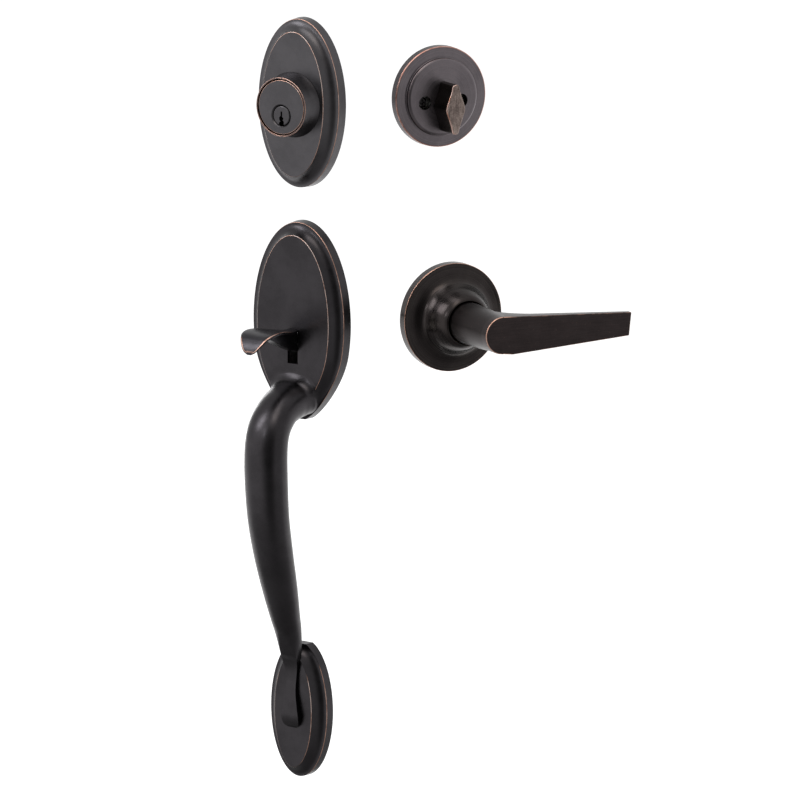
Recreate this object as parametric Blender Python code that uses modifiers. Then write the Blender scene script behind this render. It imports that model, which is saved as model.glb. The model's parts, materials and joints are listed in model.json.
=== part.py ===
"""Entry door handleset in oil-rubbed bronze: deadbolt cylinder, thumb-latch handle, thumbturn and lever.

Units are metres. The world has +Z up, and the outside handle's door face is the plane Y = 0, facing -Y.
Each of the four assemblies is modelled in its own door frame, held by an empty: X to the right, Y up and
Z straight out of the door, with the origin where the bore's axis meets the door's face.
"""

import math

import bmesh
import bpy
from mathutils import Matrix, Vector

# Clearances
GAP = 0.0003                    # between two pieces that touch
SLACK = 0.0006                  # round a screw in its hole
PAST = 0.001                    # how far a cutter runs past what it cuts

# Where the assemblies stand
BORE_SPACING = 0.1397           # deadbolt bore above latch bore
INSIDE_TURN = math.radians(60.5)
THUMBTURN_X = 0.0533
THUMBTURN_Y = 0.0699
LEVER_X = 0.0662
LEVER_Y = 0.0652

# Oval plates, all with the same rim and cove
RIM_DRAFT = 0.0006
RIM_ROUND = 0.0004
COVE_WIDTH = 0.0075
COVE_SWEEP = math.radians(74.0)
PLATE_WALL = 0.0024
BOLT_PLATE_HALF_WIDTH = 0.0310
BOLT_PLATE_HALF_HEIGHT = 0.0538
BOLT_PLATE_RIM = 0.0074
BOLT_PLATE_HEIGHT = 0.0138
HANDLE_PLATE_HALF_WIDTH = 0.0351
HANDLE_PLATE_HALF_HEIGHT = 0.0640
HANDLE_PLATE_RIM = 0.0073
HANDLE_PLATE_HEIGHT = 0.0137
LOWER_PLATE_HALF_WIDTH = 0.0223
LOWER_PLATE_HALF_HEIGHT = 0.0450
LOWER_PLATE_RIM = 0.0065
LOWER_PLATE_HEIGHT = 0.0132
CHIN_CUT = 0.0020               # what the square chins lose of each oval's tip
LOWER_CHIN_CUT = 0.0040

# Grip
LOWER_DROP = 0.2530             # latch bore down to the lower plate's centre
NECK_DROP = 0.0482              # latch bore down to the root of the grip
GRIP_REACH = 0.0432             # door to the grip's centre line, at its furthest
GRIP_HALF_WIDTH = 0.0142
GRIP_HALF_DEPTH = 0.0120
TEARDROP_HALF_WIDTH = 0.0060
TEARDROP_HALF_DEPTH = 0.0054
SECTION_POWER = 2.2             # 2 is an ellipse, more is squarer

# Thumbpiece and what it works
PIVOT_DROP = 0.0110
PIVOT_OUT = 0.0055
PIVOT_RADIUS = 0.0020
PIVOT_BOSS_RADIUS = 0.0038
PIVOT_HALF_LENGTH = 0.0155
SLOT_HALF_WIDTH = 0.0039
SLOT_TOP = 0.0050
SLOT_BOTTOM = 0.0255
PAD_LENGTH = 0.0477
PAD_HALF_WIDTH = 0.0125
PAD_THICKNESS = 0.0030
PAD_DISH = 0.0009
PAD_TOP_DROP = 0.0024            # bore's axis to the highest part of the pad
PAD_DROOP = 0.0084              # how far the tip hangs below that
BRACKET_HALF_WIDTH = 0.0240
BRACKET_TOP = 0.336 * HANDLE_PLATE_HALF_HEIGHT
BRACKET_BOTTOM = 0.586 * HANDLE_PLATE_HALF_HEIGHT
BRACKET_BACK = 0.0011
BRACKET_SHEET = 0.0016
EAR_OUT = 0.0130
EAR_HEIGHT = 0.0066
WINDOW_HALF_WIDTH = 0.0118
WINDOW_TOP = 0.0070
WINDOW_BOTTOM = 0.0165
POST_SPACING = 0.0380
POST_RADIUS = 0.0042
POST_HOLE_RADIUS = 0.0017
POST_HOLE_DEPTH = 0.0060
BOSS_RADIUS = 0.0032
BOSS_RISE = 0.265 * HANDLE_PLATE_HALF_HEIGHT
BOSS_FALL = 0.523 * HANDLE_PLATE_HALF_HEIGHT
SMALL_SCREW_RADIUS = 0.0013
SMALL_HEAD_RADIUS = 0.0027
SMALL_HEAD_HEIGHT = 0.0016
CAM_HUB_RADIUS = 0.0058
CAM_JOURNAL_RADIUS = 0.0050
CAM_DEPTH = 0.0048
CAM_ARM = 0.0074
CAM_PIN_RADIUS = 0.0012
CAM_PIN_LENGTH = 0.0090
CAM_RING_WIDTH = 0.0016
LIFT_ARM_WIDTH = 0.0030
LIFT_ARM_REACH = 0.0180
LIFT_ARM_RISE = 0.0080
LIFT_ARM_HALF_THICKNESS = 0.0015
LIFT_HUB_RADIUS = 0.0034
LATCH_SPINDLE_SIDE = 0.0050
LATCH_SPINDLE_END = -0.0440
THUMB_SPRING_RADIUS = 0.0034
THUMB_SPRING_WIRE = 0.0005
THUMB_SPRING_TURNS = 4
LOWER_STUD_RADIUS = 0.0030
LOWER_STUD_END = -0.0200
LOWER_STUD_FALL = 0.0180
STUD_BOSS_WALL = 0.0022
STUD_SHORT = 0.0010             # the boss stops this short of the door, and its hole this short of the plate
BOSS_ROOT = 0.0008              # how far a boss runs into the plate that it stands on

# Lock cylinder
COLLAR_BASE_RADIUS = 0.0206
COLLAR_FRONT_RADIUS = 0.0186
COLLAR_FRONT = 0.0270
COLLAR_RIM = 0.0008
COLLAR_WEB = 0.0030
SHELL_GROOVE = 0.0008
SHELL_BODY_RADIUS = 0.0158
SHELL_BACK = -0.0160
PLUG_DROP = 0.0055              # key and thumbturn axis below the bore's axis
PLUG_RADIUS = 0.00635
PLUG_OVERRUN = 0.0015
KEYWAY_DEPTH = 0.0280
RETAINER_RADIUS = 0.0078
RETAINER_SHEET = 0.0016
TAIL_HEAD_RADIUS = 0.0043
TAIL_HEAD = 0.0016
TAIL_WIDTH = 0.0062
TAIL_SHEET = 0.0018
TAIL_END = -0.0380

# Thumbturn
ROSE_SHEET = 0.0012
TURN_ROSE_RADIUS = 0.0323
TURN_LEDGE = 0.0060
TURN_DISC_RADIUS = 0.0246
TURN_DISC_HEIGHT = 0.0088
TURN_FRONT = 0.0260
TURN_HALF_HEIGHT = 0.01575
TURN_HALF_WIDTH = 0.0066
TURN_SHAFT_RADIUS = 0.0049
TURN_SHAFT_END = -0.0040
BACKING_BACK = 0.0008
BACKING_SHEET = 0.0016
TURN_SCREW_SPACING = 0.0260
TURN_SCREW_DROP = 0.0029
TURN_SCREW_END = -0.0230
RECESS_RADIUS = 0.0044
SCREW_HEAD_RADIUS = 0.0034
SCREW_HEAD_HEIGHT = 0.0022
SCREW_RADIUS = 0.0020
CLIP_SHEET = 0.0008
CLIP_WIDTH = 0.0026
GROOVE_DEPTH = 0.0008
WASHER_RADIUS = 0.0085

# Lever
LEVER_ROSE_RADIUS = 0.0350
LEVER_ROSE_RIM = 0.0063
LEVER_ROSE_FRONT = 0.0268
LEVER_HOLE_RADIUS = 0.0139
SHANK_RADIUS = 0.0132
SHANK_FRONT_RADIUS = 0.0119
SHANK_BACK = 0.0050
SHANK_BORE_DEPTH = 0.0290
LEVER_FRONT = 0.0725
LEVER_REACH = 0.0925            # bore's axis to the tip of the blade
LEVER_ROOT_HALF_HEIGHT = 0.0119
LEVER_TIP_HALF_HEIGHT = 0.0075
LEVER_TIP_RISE = 0.0010
LEVER_ROOT_THICKNESS = 0.0120
LEVER_TIP_THICKNESS = 0.0065
LEVER_EDGE_ROUND = 0.0012
BUSHING_WALL = 0.0015
BUSHING_LENGTH = 0.0120
CHASSIS_BACK = 0.0010
CHASSIS_SHEET = 0.0020
DRIVER_RADIUS = 0.0089
DRIVER_FLANGE = 0.0014
DRIVER_END = -0.0125
LEVER_SPINDLE_SIDE = 0.0072
LEVER_SPINDLE_END = -0.0440
LEVER_SPRING_RADIUS = 0.0125
LEVER_SPRING_WIRE = 0.0010
LEVER_SPRING_TURNS = 2
LEVER_SCREW_HEAD_RADIUS = 0.0036
LEVER_SCREW_END = -0.0190
SET_SCREW_RADIUS = 0.0016
SET_SCREW_OUT = 0.0290

# Facets
OVAL_SIDES = 36
ROUND_SIDES = 28
HOLE_SIDES = 20
SMALL_SIDES = 14
SECTION_SIDES = 16

FRAMES = {}
PARTS = bpy.data.collections.new("Entry door handleset")
CUTTERS = bpy.data.collections.new("Cutters")


def clear_scene():
    for item in list(bpy.data.objects):
        bpy.data.objects.remove(item)
    bpy.context.scene.collection.children.link(PARTS)
    bpy.context.scene.collection.children.link(CUTTERS)


def door_frame(name, position, turn):
    """An empty whose X is right, Y up and Z straight out of the door."""
    frame = bpy.data.objects.new(name, None)
    frame.location = position
    frame.rotation_euler = (math.pi / 2, 0.0, turn)
    frame.empty_display_size = 0.02
    PARTS.objects.link(frame)
    FRAMES[name] = frame
    return frame


def finish(name, colour, roughness, metallic=0.9):
    material = bpy.data.materials.new(name)
    material.use_nodes = True
    shader = material.node_tree.nodes["Principled BSDF"]
    shader.inputs["Base Color"].default_value = (*colour, 1.0)
    shader.inputs["Roughness"].default_value = roughness
    shader.inputs["Metallic"].default_value = metallic
    return material


def place(thing, frame, at, material):
    """Puts a mesh object in its frame, as a part with a material or as a hidden cutter without one."""
    thing.parent = FRAMES[frame]
    thing.location = at
    if material is None:
        CUTTERS.objects.link(thing)
        thing.hide_render = True
        thing.display_type = "WIRE"
    else:
        PARTS.objects.link(thing)
        thing.data.materials.append(material)
    return thing


def from_bmesh(name, shape):
    bmesh.ops.recalc_face_normals(shape, faces=shape.faces)
    mesh = bpy.data.meshes.new(name)
    shape.to_mesh(mesh)
    shape.free()
    return bpy.data.objects.new(name, mesh)


def soften(thing, angle=35.0):
    thing.data.shade_smooth()
    thing.data.set_sharp_from_angle(angle=math.radians(angle))
    return thing


def turned(name, profile, frame, at=(0.0, 0.0, 0.0), material=None, sides=ROUND_SIDES, ring=False):
    """A profile of (radius, height) points, run down its outer side, turned about the frame's Z."""
    mesh = bpy.data.meshes.new(name)
    edges = [(i, i + 1) for i in range(len(profile) - 1)]
    if ring:
        edges.append((len(profile) - 1, 0))
    mesh.from_pydata([(radius, 0.0, height) for radius, height in profile], edges, [])
    thing = bpy.data.objects.new(name, mesh)
    screw = thing.modifiers.new("Turn", "SCREW")
    screw.steps = sides
    screw.render_steps = sides
    screw.use_merge_vertices = True
    screw.merge_threshold = 0.00001
    screw.use_smooth_shade = True
    return place(thing, frame, at, material)


def rod(name, radius, bottom, top, frame, at=(0.0, 0.0, 0.0), material=None, sides=SMALL_SIDES, along="Z"):
    """A plain cylinder between two places on one axis of the frame."""
    shape = bmesh.new()
    bmesh.ops.create_cone(shape, cap_ends=True, segments=sides, radius1=radius, radius2=radius,
                          depth=top - bottom)
    bmesh.ops.translate(shape, verts=shape.verts, vec=(0.0, 0.0, (top + bottom) / 2))
    if along == "X":
        bmesh.ops.rotate(shape, verts=shape.verts, matrix=Matrix.Rotation(math.pi / 2, 3, "Y"))
    if along == "Y":
        bmesh.ops.rotate(shape, verts=shape.verts, matrix=Matrix.Rotation(-math.pi / 2, 3, "X"))
    return place(soften(from_bmesh(name, shape)), frame, at, material)


def box(name, low, high, frame, at=(0.0, 0.0, 0.0), material=None):
    low = Vector(low)
    high = Vector(high)
    shape = bmesh.new()
    bmesh.ops.create_cube(shape, size=1.0)
    bmesh.ops.scale(shape, verts=shape.verts, vec=high - low)
    bmesh.ops.translate(shape, verts=shape.verts, vec=(high + low) / 2)
    return place(from_bmesh(name, shape), frame, at, material)


def loft(name, rings, frame, at=(0.0, 0.0, 0.0), material=None):
    """One closed skin over rings of equally many points, capped at both ends."""
    shape = bmesh.new()
    loops = [[shape.verts.new(point) for point in ring] for ring in rings]
    count = len(rings[0])
    for near, far in zip(loops, loops[1:]):
        for i in range(count):
            after = (i + 1) % count
            shape.faces.new((near[i], near[after], far[after], far[i]))
    shape.faces.new(list(reversed(loops[0])))
    shape.faces.new(loops[-1])
    return place(soften(from_bmesh(name, shape)), frame, at, material)


def slab(name, outline, bottom, top, frame, at=(0.0, 0.0, 0.0), material=None, across=False):
    """An outline extruded along Z, or, across, a (Z, Y) outline extruded along X."""
    def point(pair, height):
        return (height, pair[1], pair[0]) if across else (pair[0], pair[1], height)
    rings = [[point(pair, height) for pair in outline] for height in (bottom, top)]
    return loft(name, rings, frame, at, material)


def combine(thing, other, operation):
    step = thing.modifiers.new(f"{operation.title()} {other.name}", "BOOLEAN")
    step.operation = operation
    step.solver = "EXACT"
    step.object = other
    return thing


def cut(thing, *cutters):
    for cutter in cutters:
        combine(thing, cutter, "DIFFERENCE")
    return thing


def join(thing, *others):
    for other in others:
        combine(thing, other, "UNION")
    return thing


def bevel(thing, width, segments=2, angle=40.0):
    step = thing.modifiers.new("Edges", "BEVEL")
    step.width = width
    step.segments = segments
    step.limit_method = "ANGLE"
    step.angle_limit = math.radians(angle)
    return thing


def smooth_path(points, steps, closed=False):
    """A Catmull-Rom curve through points of any number of values."""
    points = [Vector(point) for point in points]
    count = len(points)
    spans = count if closed else count - 1
    found = []
    for i in range(spans):
        if closed:
            a, b, c, d = (points[(i + k) % count] for k in (-1, 0, 1, 2))
        else:
            a, b, c, d = (points[min(max(i + k, 0), count - 1)] for k in (-1, 0, 1, 2))
        for step in range(steps):
            t = step / steps
            found.append(0.5 * (2 * b + (c - a) * t + (2 * a - 5 * b + 4 * c - d) * t ** 2
                                + (3 * b - a - 3 * c + d) * t ** 3))
    if not closed:
        found.append(points[-1].copy())
    return found


def oval(half_width, half_height, height, centre=0.0):
    turns = [2 * math.pi * i / OVAL_SIDES for i in range(OVAL_SIDES)]
    return [(half_width * math.cos(turn), centre + half_height * math.sin(turn), height) for turn in turns]


def cove_profile(rim, height, steps=5):
    """(inset, height) points up the front of an oval plate, from the door to its flat face."""
    points = [(0.0, 0.0), (RIM_DRAFT, rim - RIM_ROUND), (RIM_DRAFT + RIM_ROUND, rim)]
    for i in range(1, steps + 1):
        turn = COVE_SWEEP * i / steps
        across = math.sin(turn) / math.sin(COVE_SWEEP)
        up = (1 - math.cos(turn)) / (1 - math.cos(COVE_SWEEP))
        inset = RIM_DRAFT + RIM_ROUND + across * (COVE_WIDTH - RIM_ROUND)
        points.append((inset, rim + up * (height - rim)))
    return points


def oval_plate(name, half_width, half_height, rim, height, frame, centre=0.0, material=None):
    """A coved oval shell, open to the door."""
    front = cove_profile(rim, height)
    face_inset = front[-1][0]
    back = [(face_inset + PLATE_WALL, height - PLATE_WALL),
            (PLATE_WALL + RIM_DRAFT, rim - PLATE_WALL),
            (PLATE_WALL, 0.0)]
    rings = [oval(half_width - inset, half_height - inset, z, centre) for inset, z in back + front]
    return loft(name, rings, frame, material=material)


def washer_profile(inner, outer, bottom, top):
    return [(outer, top), (outer, bottom), (inner, bottom), (inner, top)]


def sheet_profile(outer_points, hole, sheet):
    """The closed profile of a pressed rose: its outer line, and the same line one sheet further in."""
    inner = [(radius - sheet, height - sheet) for radius, height in outer_points[1:-1]]
    inner.append((outer_points[-1][0] - sheet, 0.0))
    return [*outer_points, *reversed(inner), (hole, outer_points[0][1] - sheet)]


def coil(name, radius, wire, start, end, turns, frame, at, material, along="Z"):
    """A helical spring, closed at both ends of its wire."""
    per_turn = 10
    count = turns * per_turn + 1
    curve = bpy.data.curves.new(name, "CURVE")
    curve.dimensions = "3D"
    curve.bevel_depth = wire
    curve.bevel_resolution = 2
    curve.use_fill_caps = True
    spline = curve.splines.new("POLY")
    spline.points.add(count - 1)
    for i, point in enumerate(spline.points):
        turn = 2 * math.pi * i / per_turn
        run = start + (end - start) * i / (count - 1)
        around = (radius * math.cos(turn), radius * math.sin(turn))
        place_on_axis = (run, *around) if along == "X" else (*around, run)
        point.co = (*place_on_axis, 1.0)
    guide = bpy.data.objects.new(name + "_wire", curve)
    CUTTERS.objects.link(guide)
    bpy.context.view_layer.update()
    evaluated = guide.evaluated_get(bpy.context.evaluated_depsgraph_get())
    shape = bmesh.new()
    shape.from_mesh(bpy.data.meshes.new_from_object(evaluated))
    bmesh.ops.remove_doubles(shape, verts=shape.verts, dist=0.000001)
    bpy.data.objects.remove(guide)
    return place(soften(from_bmesh(name, shape)), frame, at, material)


def cross_recess(name, head, depth, frame, at, facing):
    """Two crossed slots in a screw head that looks along facing, +1 out of the door or -1 into it."""
    arm = 0.62 * head
    half = 0.16 * head
    low, high = sorted((facing * PAST, -facing * depth))
    upright = box(name + "_upright", (-half, -arm, low), (half, arm, high), frame, at)
    level = box(name + "_level", (-arm, -half, low), (arm, half, high), frame, at)
    return upright, level


def screw_piece(name, head, head_height, shank, seat, end, frame, at, material):
    """A pan-head machine screw: its head's underside at seat, its tip at end, both along Z."""
    facing = 1 if end < seat else -1
    top = seat + facing * head_height
    shoulder = 0.35 * head_height
    line = [(0.0, top), (0.72 * head, top), (head, top - facing * shoulder), (head, seat), (shank, seat),
            (shank, end + facing * shank * 0.5), (shank * 0.6, end), (0.0, end)]
    if facing < 0:
        line.reverse()
    piece = turned(name, line, frame, at, material, sides=SMALL_SIDES)
    recess_at = (at[0], at[1], at[2] + top)
    return cut(piece, *cross_recess(name + "_recess", head, head_height * 0.55, frame, recess_at, facing))


def retaining_ring(name, groove_radius, bottom, top, frame, at, material, width):
    """A snap ring with its mouth at the bottom."""
    inner = groove_radius + GAP
    outer = inner + width
    ring = turned(name, washer_profile(inner, outer, bottom, top), frame, at, material,
                  sides=SMALL_SIDES + 4, ring=True)
    mouth = box(name + "_mouth", (-0.55 * inner, -outer - PAST, bottom - PAST),
                (0.55 * inner, 0.0, top + PAST), frame, at)
    return cut(ring, mouth)


# Outside, deadbolt

def build_deadbolt_plate(bronze):
    frame = "outside_deadbolt"
    plate = oval_plate("deadbolt_plate", BOLT_PLATE_HALF_WIDTH, BOLT_PLATE_HALF_HEIGHT, BOLT_PLATE_RIM,
                       BOLT_PLATE_HEIGHT, frame, material=bronze)
    hole = rod("deadbolt_plate_hole", SHELL_BODY_RADIUS + GAP, -PAST, BOLT_PLATE_HEIGHT + PAST, frame,
               sides=ROUND_SIDES)
    return cut(plate, hole)


def build_cylinder(bronze, steel, dark):
    frame = "outside_deadbolt"
    web_back = BOLT_PLATE_HEIGHT + GAP
    web_front = web_back + COLLAR_WEB
    bore = COLLAR_FRONT_RADIUS - COLLAR_RIM
    turned("cylinder_collar",
           [(bore, COLLAR_FRONT), (COLLAR_FRONT_RADIUS - 0.0003, COLLAR_FRONT),
            (COLLAR_FRONT_RADIUS, COLLAR_FRONT - 0.0004),
            (COLLAR_FRONT_RADIUS + 0.0004, (COLLAR_FRONT + web_back) / 2),
            (COLLAR_BASE_RADIUS, web_back), (SHELL_BODY_RADIUS + GAP, web_back),
            (SHELL_BODY_RADIUS + GAP, web_front), (bore, web_front)],
           frame, material=bronze, ring=True)

    front = COLLAR_FRONT - 0.0004
    head = bore - SHELL_GROOVE
    shell = turned("cylinder_shell",
                   [(0.0, front), (head - 0.0005, front), (head, front - 0.0005),
                    (head, web_front + GAP), (SHELL_BODY_RADIUS, web_front + GAP),
                    (SHELL_BODY_RADIUS, SHELL_BACK), (0.0, SHELL_BACK)],
                   frame, material=bronze)
    axis = (0.0, -PLUG_DROP, 0.0)
    mouth = 0.0006
    plug_bore = PLUG_RADIUS + GAP
    cut(shell, turned("plug_bore",
                      [(0.0, front + PAST), (plug_bore + mouth, front + PAST), (plug_bore + mouth, front),
                       (plug_bore, front - mouth), (plug_bore, SHELL_BACK - PAST),
                       (0.0, SHELL_BACK - PAST)],
                      frame, axis, sides=ROUND_SIDES))
    for side in (-1, 1):
        cut(shell, rod(f"shell_bolt_hole_{side}", SCREW_RADIUS - GAP, SHELL_BACK - PAST,
                       SHELL_BACK + 0.012, frame, (side * TURN_SCREW_SPACING / 2, -TURN_SCREW_DROP, 0.0)))

    plug_back = SHELL_BACK - PLUG_OVERRUN
    pocket = TAIL_HEAD + GAP
    plug_front = front - GAP
    plug = turned("key_plug",
                  [(0.0, plug_front), (PLUG_RADIUS - mouth, plug_front), (PLUG_RADIUS, plug_front - mouth),
                   (PLUG_RADIUS, plug_back), (TAIL_HEAD_RADIUS + GAP, plug_back),
                   (TAIL_HEAD_RADIUS + GAP, plug_back + pocket), (0.0, plug_back + pocket)],
                  frame, axis, steel, sides=ROUND_SIDES)
    open_end = -PLUG_RADIUS - PAST
    keyway = [(0.0006, 0.0028), (-0.0006, 0.0028), (-0.0006, 0.0002), (-0.0016, -0.0010),
              (-0.0016, -0.0026), (-0.0008, -0.0034), (-0.0018, -0.0044), (-0.0018, open_end),
              (0.0018, open_end), (0.0018, -0.0036), (0.0010, -0.0026), (0.0016, -0.0016),
              (0.0006, -0.0006)]
    cut(plug, slab("keyway", keyway, plug_front - KEYWAY_DEPTH, plug_front + PAST, frame, axis))

    retainer_front = plug_back - GAP
    retainer = turned("plug_retainer",
                      [(0.0, retainer_front), (RETAINER_RADIUS, retainer_front),
                       (RETAINER_RADIUS, retainer_front - RETAINER_SHEET),
                       (0.0, retainer_front - RETAINER_SHEET)],
                      frame, axis, steel, sides=HOLE_SIDES)
    half_width = TAIL_WIDTH / 2
    half_sheet = TAIL_SHEET / 2
    cut(retainer, box("retainer_slot",
                      (-half_sheet - GAP, -half_width - GAP, retainer_front - RETAINER_SHEET - PAST),
                      (half_sheet + GAP, half_width + GAP, retainer_front + PAST), frame, axis))
    tail = rod("cylinder_tailpiece", TAIL_HEAD_RADIUS, plug_back, plug_back + TAIL_HEAD, frame, axis, dark)
    join(tail, box("tail_blade", (-half_sheet, -half_width, TAIL_END),
                   (half_sheet, half_width, plug_back + TAIL_HEAD / 2), frame, axis))


# Outside, handle

def grip_rings():
    """Sections square to the grip's centre line, from inside the upper plate to the teardrop's end.

    A row of the grip starts with its share of the way down to the lower plate's centre, and a row of the tail
    with its height over that centre as a share of the plate's half height. Then come the share of the way out
    from the nearest plate's face to the full reach, and the section's half width and half depth as shares.
    """
    grip = [(-0.004, -0.07, 1.12, 1.08), (0.000, 0.05, 1.05, 1.03), (0.006, 0.24, 0.99, 1.01),
            (0.026, 0.58, 0.95, 0.98), (0.070, 0.88, 0.96, 0.99), (0.130, 1.00, 0.98, 0.98),
            (0.225, 1.00, 0.99, 0.97), (0.350, 0.92, 0.96, 0.94), (0.472, 0.73, 0.91, 0.89),
            (0.594, 0.48, 0.81, 0.80), (0.692, 0.27, 0.67, 0.69), (0.770, 0.07, 0.55, 0.57)]
    tail = [(0.6827, -0.07, 0.73, 0.98), (0.3368, 0.00, 0.47, 0.80), (0.0956, 0.00, 0.79, 0.92),
            (-0.0455, 0.00, 1.00, 1.00), (-0.1638, -0.01, 0.92, 0.80), (-0.2230, -0.02, 0.47, 0.40)]
    stations = []
    for down, out, width, depth in grip:
        face = HANDLE_PLATE_HEIGHT if down < 0.3 else LOWER_PLATE_HEIGHT
        stations.append(((-NECK_DROP - down * (LOWER_DROP - NECK_DROP), face + out * (GRIP_REACH - face), 0.0),
                         (width * GRIP_HALF_WIDTH, depth * GRIP_HALF_DEPTH, 0.0)))
    for up, out, width, depth in tail:
        face = LOWER_PLATE_HEIGHT
        stations.append(((-LOWER_DROP + up * LOWER_PLATE_HALF_HEIGHT, face + out * (GRIP_REACH - face), 0.0),
                         (width * TEARDROP_HALF_WIDTH, depth * TEARDROP_HALF_DEPTH, 0.0)))
    line = smooth_path([place_of for place_of, _ in stations], 2)
    sizes = smooth_path([size for _, size in stations], 2)
    rings = []
    for i, (centre, size) in enumerate(zip(line, sizes)):
        run = (line[min(i + 1, len(line) - 1)] - line[max(i - 1, 0)]).normalized()
        square = (-run[1], run[0])
        ring = []
        for k in range(SECTION_SIDES):
            turn = 2 * math.pi * k / SECTION_SIDES
            sideways = math.copysign(abs(math.cos(turn)) ** (2 / SECTION_POWER), math.cos(turn)) * size[0]
            outward = math.copysign(abs(math.sin(turn)) ** (2 / SECTION_POWER), math.sin(turn)) * size[1]
            ring.append((sideways, centre[0] + outward * square[0], centre[1] + outward * square[1]))
        rings.append(ring)
    return rings


def build_handle_casting(bronze):
    frame = "outside_handle"
    casting = oval_plate("handle_casting", HANDLE_PLATE_HALF_WIDTH, HANDLE_PLATE_HALF_HEIGHT,
                         HANDLE_PLATE_RIM, HANDLE_PLATE_HEIGHT, frame, material=bronze)
    lower = oval_plate("lower_plate", LOWER_PLATE_HALF_WIDTH, LOWER_PLATE_HALF_HEIGHT, LOWER_PLATE_RIM,
                       LOWER_PLATE_HEIGHT, frame, centre=-LOWER_DROP)
    chin = HANDLE_PLATE_HALF_HEIGHT - CHIN_CUT
    cut(casting, box("chin_cut", (-HANDLE_PLATE_HALF_WIDTH, -HANDLE_PLATE_HALF_HEIGHT - PAST, -PAST),
                     (HANDLE_PLATE_HALF_WIDTH, -chin, HANDLE_PLATE_HEIGHT + PAST), frame))
    lower_chin = LOWER_PLATE_HALF_HEIGHT - LOWER_CHIN_CUT
    cut(lower, box("lower_chin_cut", (-LOWER_PLATE_HALF_WIDTH, -LOWER_DROP + lower_chin, -PAST),
                   (LOWER_PLATE_HALF_WIDTH, -LOWER_DROP + LOWER_PLATE_HALF_HEIGHT + PAST,
                    LOWER_PLATE_HEIGHT + PAST), frame))

    upper_under = HANDLE_PLATE_HEIGHT - PLATE_WALL
    lower_under = LOWER_PLATE_HEIGHT - PLATE_WALL
    grip = loft("grip", grip_rings(), frame)
    grip_room = [box("grip_room", (-HANDLE_PLATE_HALF_WIDTH, -chin + PLATE_WALL, -HANDLE_PLATE_HEIGHT),
                     (HANDLE_PLATE_HALF_WIDTH, 0.0, upper_under), frame),
                 box("grip_lower_room",
                     (-LOWER_PLATE_HALF_WIDTH, -LOWER_DROP - LOWER_PLATE_HALF_HEIGHT, -LOWER_PLATE_HEIGHT),
                     (LOWER_PLATE_HALF_WIDTH, -LOWER_DROP + lower_chin - PLATE_WALL, lower_under), frame)]
    cut(grip, *grip_room)
    join(casting, grip, lower)
    close_chin("chin_wall", chin, 0.0, HANDLE_PLATE_HALF_WIDTH, HANDLE_PLATE_HALF_HEIGHT,
               HANDLE_PLATE_RIM, casting, -1)
    close_chin("lower_chin_wall", lower_chin, -LOWER_DROP, LOWER_PLATE_HALF_WIDTH, LOWER_PLATE_HALF_HEIGHT,
               LOWER_PLATE_RIM, casting, 1)

    seat = BRACKET_BACK + BRACKET_SHEET + GAP
    for side in (-1, 1):
        at = (side * POST_SPACING / 2, 0.0, 0.0)
        join(casting, rod(f"post_{side}", POST_RADIUS, seat, upper_under + BOSS_ROOT, frame, at))
        cut(casting, rod(f"post_hole_{side}", POST_HOLE_RADIUS, seat - PAST, seat + POST_HOLE_DEPTH,
                         frame, at))
    for name, height in (("upper", BOSS_RISE), ("lower", -BOSS_FALL)):
        at = (0.0, height, 0.0)
        join(casting, rod(f"boss_{name}", BOSS_RADIUS, seat, upper_under + BOSS_ROOT, frame, at))
        cut(casting, rod(f"boss_hole_{name}", SMALL_SCREW_RADIUS + GAP, seat - PAST, upper_under - PAST,
                         frame, at))
    stud_at = (0.0, -LOWER_DROP - LOWER_STUD_FALL, 0.0)
    join(casting, rod("stud_boss", LOWER_STUD_RADIUS + STUD_BOSS_WALL, STUD_SHORT,
                      lower_under + BOSS_ROOT, frame, stud_at))
    cut(casting, rod("stud_hole", LOWER_STUD_RADIUS + GAP, 0.0, lower_under - STUD_SHORT, frame, stud_at))
    cut(casting, box("thumb_slot", (-SLOT_HALF_WIDTH, -SLOT_BOTTOM, upper_under - PAST),
                     (SLOT_HALF_WIDTH, -SLOT_TOP, HANDLE_PLATE_HEIGHT + PAST), frame))
    return casting


def close_chin(name, cut_height, centre, half_width, half_height, rim, casting, side):
    """The wall behind an oval plate's square chin, kept inside the rim's rounded top."""
    inset = RIM_DRAFT + RIM_ROUND
    share = cut_height / (half_height - inset)
    half = (half_width - inset) * math.sqrt(1 - share ** 2)
    ends = sorted((centre + side * cut_height, centre + side * (cut_height - PLATE_WALL)))
    wall = box(name, (-half, ends[0], 0.0), (half, ends[1], rim - RIM_ROUND), "outside_handle")
    return join(casting, wall)


def pad_rings():
    """Sections of the thumb pad across its width, from the plate outwards.

    Each row is the share of the pad's length, the share of the tip's droop and the share of its half width.
    """
    rows = [(0.00, 0.27, 0.29), (0.12, 0.27, 0.36), (0.30, 0.17, 0.62), (0.50, 0.00, 0.91), (0.68, 0.00, 1.00),
            (0.82, 0.19, 0.90), (0.91, 0.48, 0.66), (0.97, 0.79, 0.40), (1.00, 1.00, 0.14)]
    start = HANDLE_PLATE_HEIGHT + 2 * GAP
    rings = []
    for share, droop, width in smooth_path(rows, 2):
        half = width * PAD_HALF_WIDTH
        dish = PAD_DISH * width ** 2
        middle = -PAD_TOP_DROP - droop * PAD_DROOP - PAD_THICKNESS / 2
        end = min(1.0, 0.45 + 4 * (1 - share))
        ring = []
        for k in range(16):
            turn = 2 * math.pi * k / 16
            across = math.copysign(abs(math.cos(turn)) ** 0.8, math.cos(turn))
            up = math.copysign(abs(math.sin(turn)) ** 0.7, math.sin(turn))
            sag = dish * (1 - across ** 2)
            ring.append((half * across, middle - sag + up * end * PAD_THICKNESS / 2,
                         start + share * PAD_LENGTH))
        rings.append(ring)
    return rings


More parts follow.
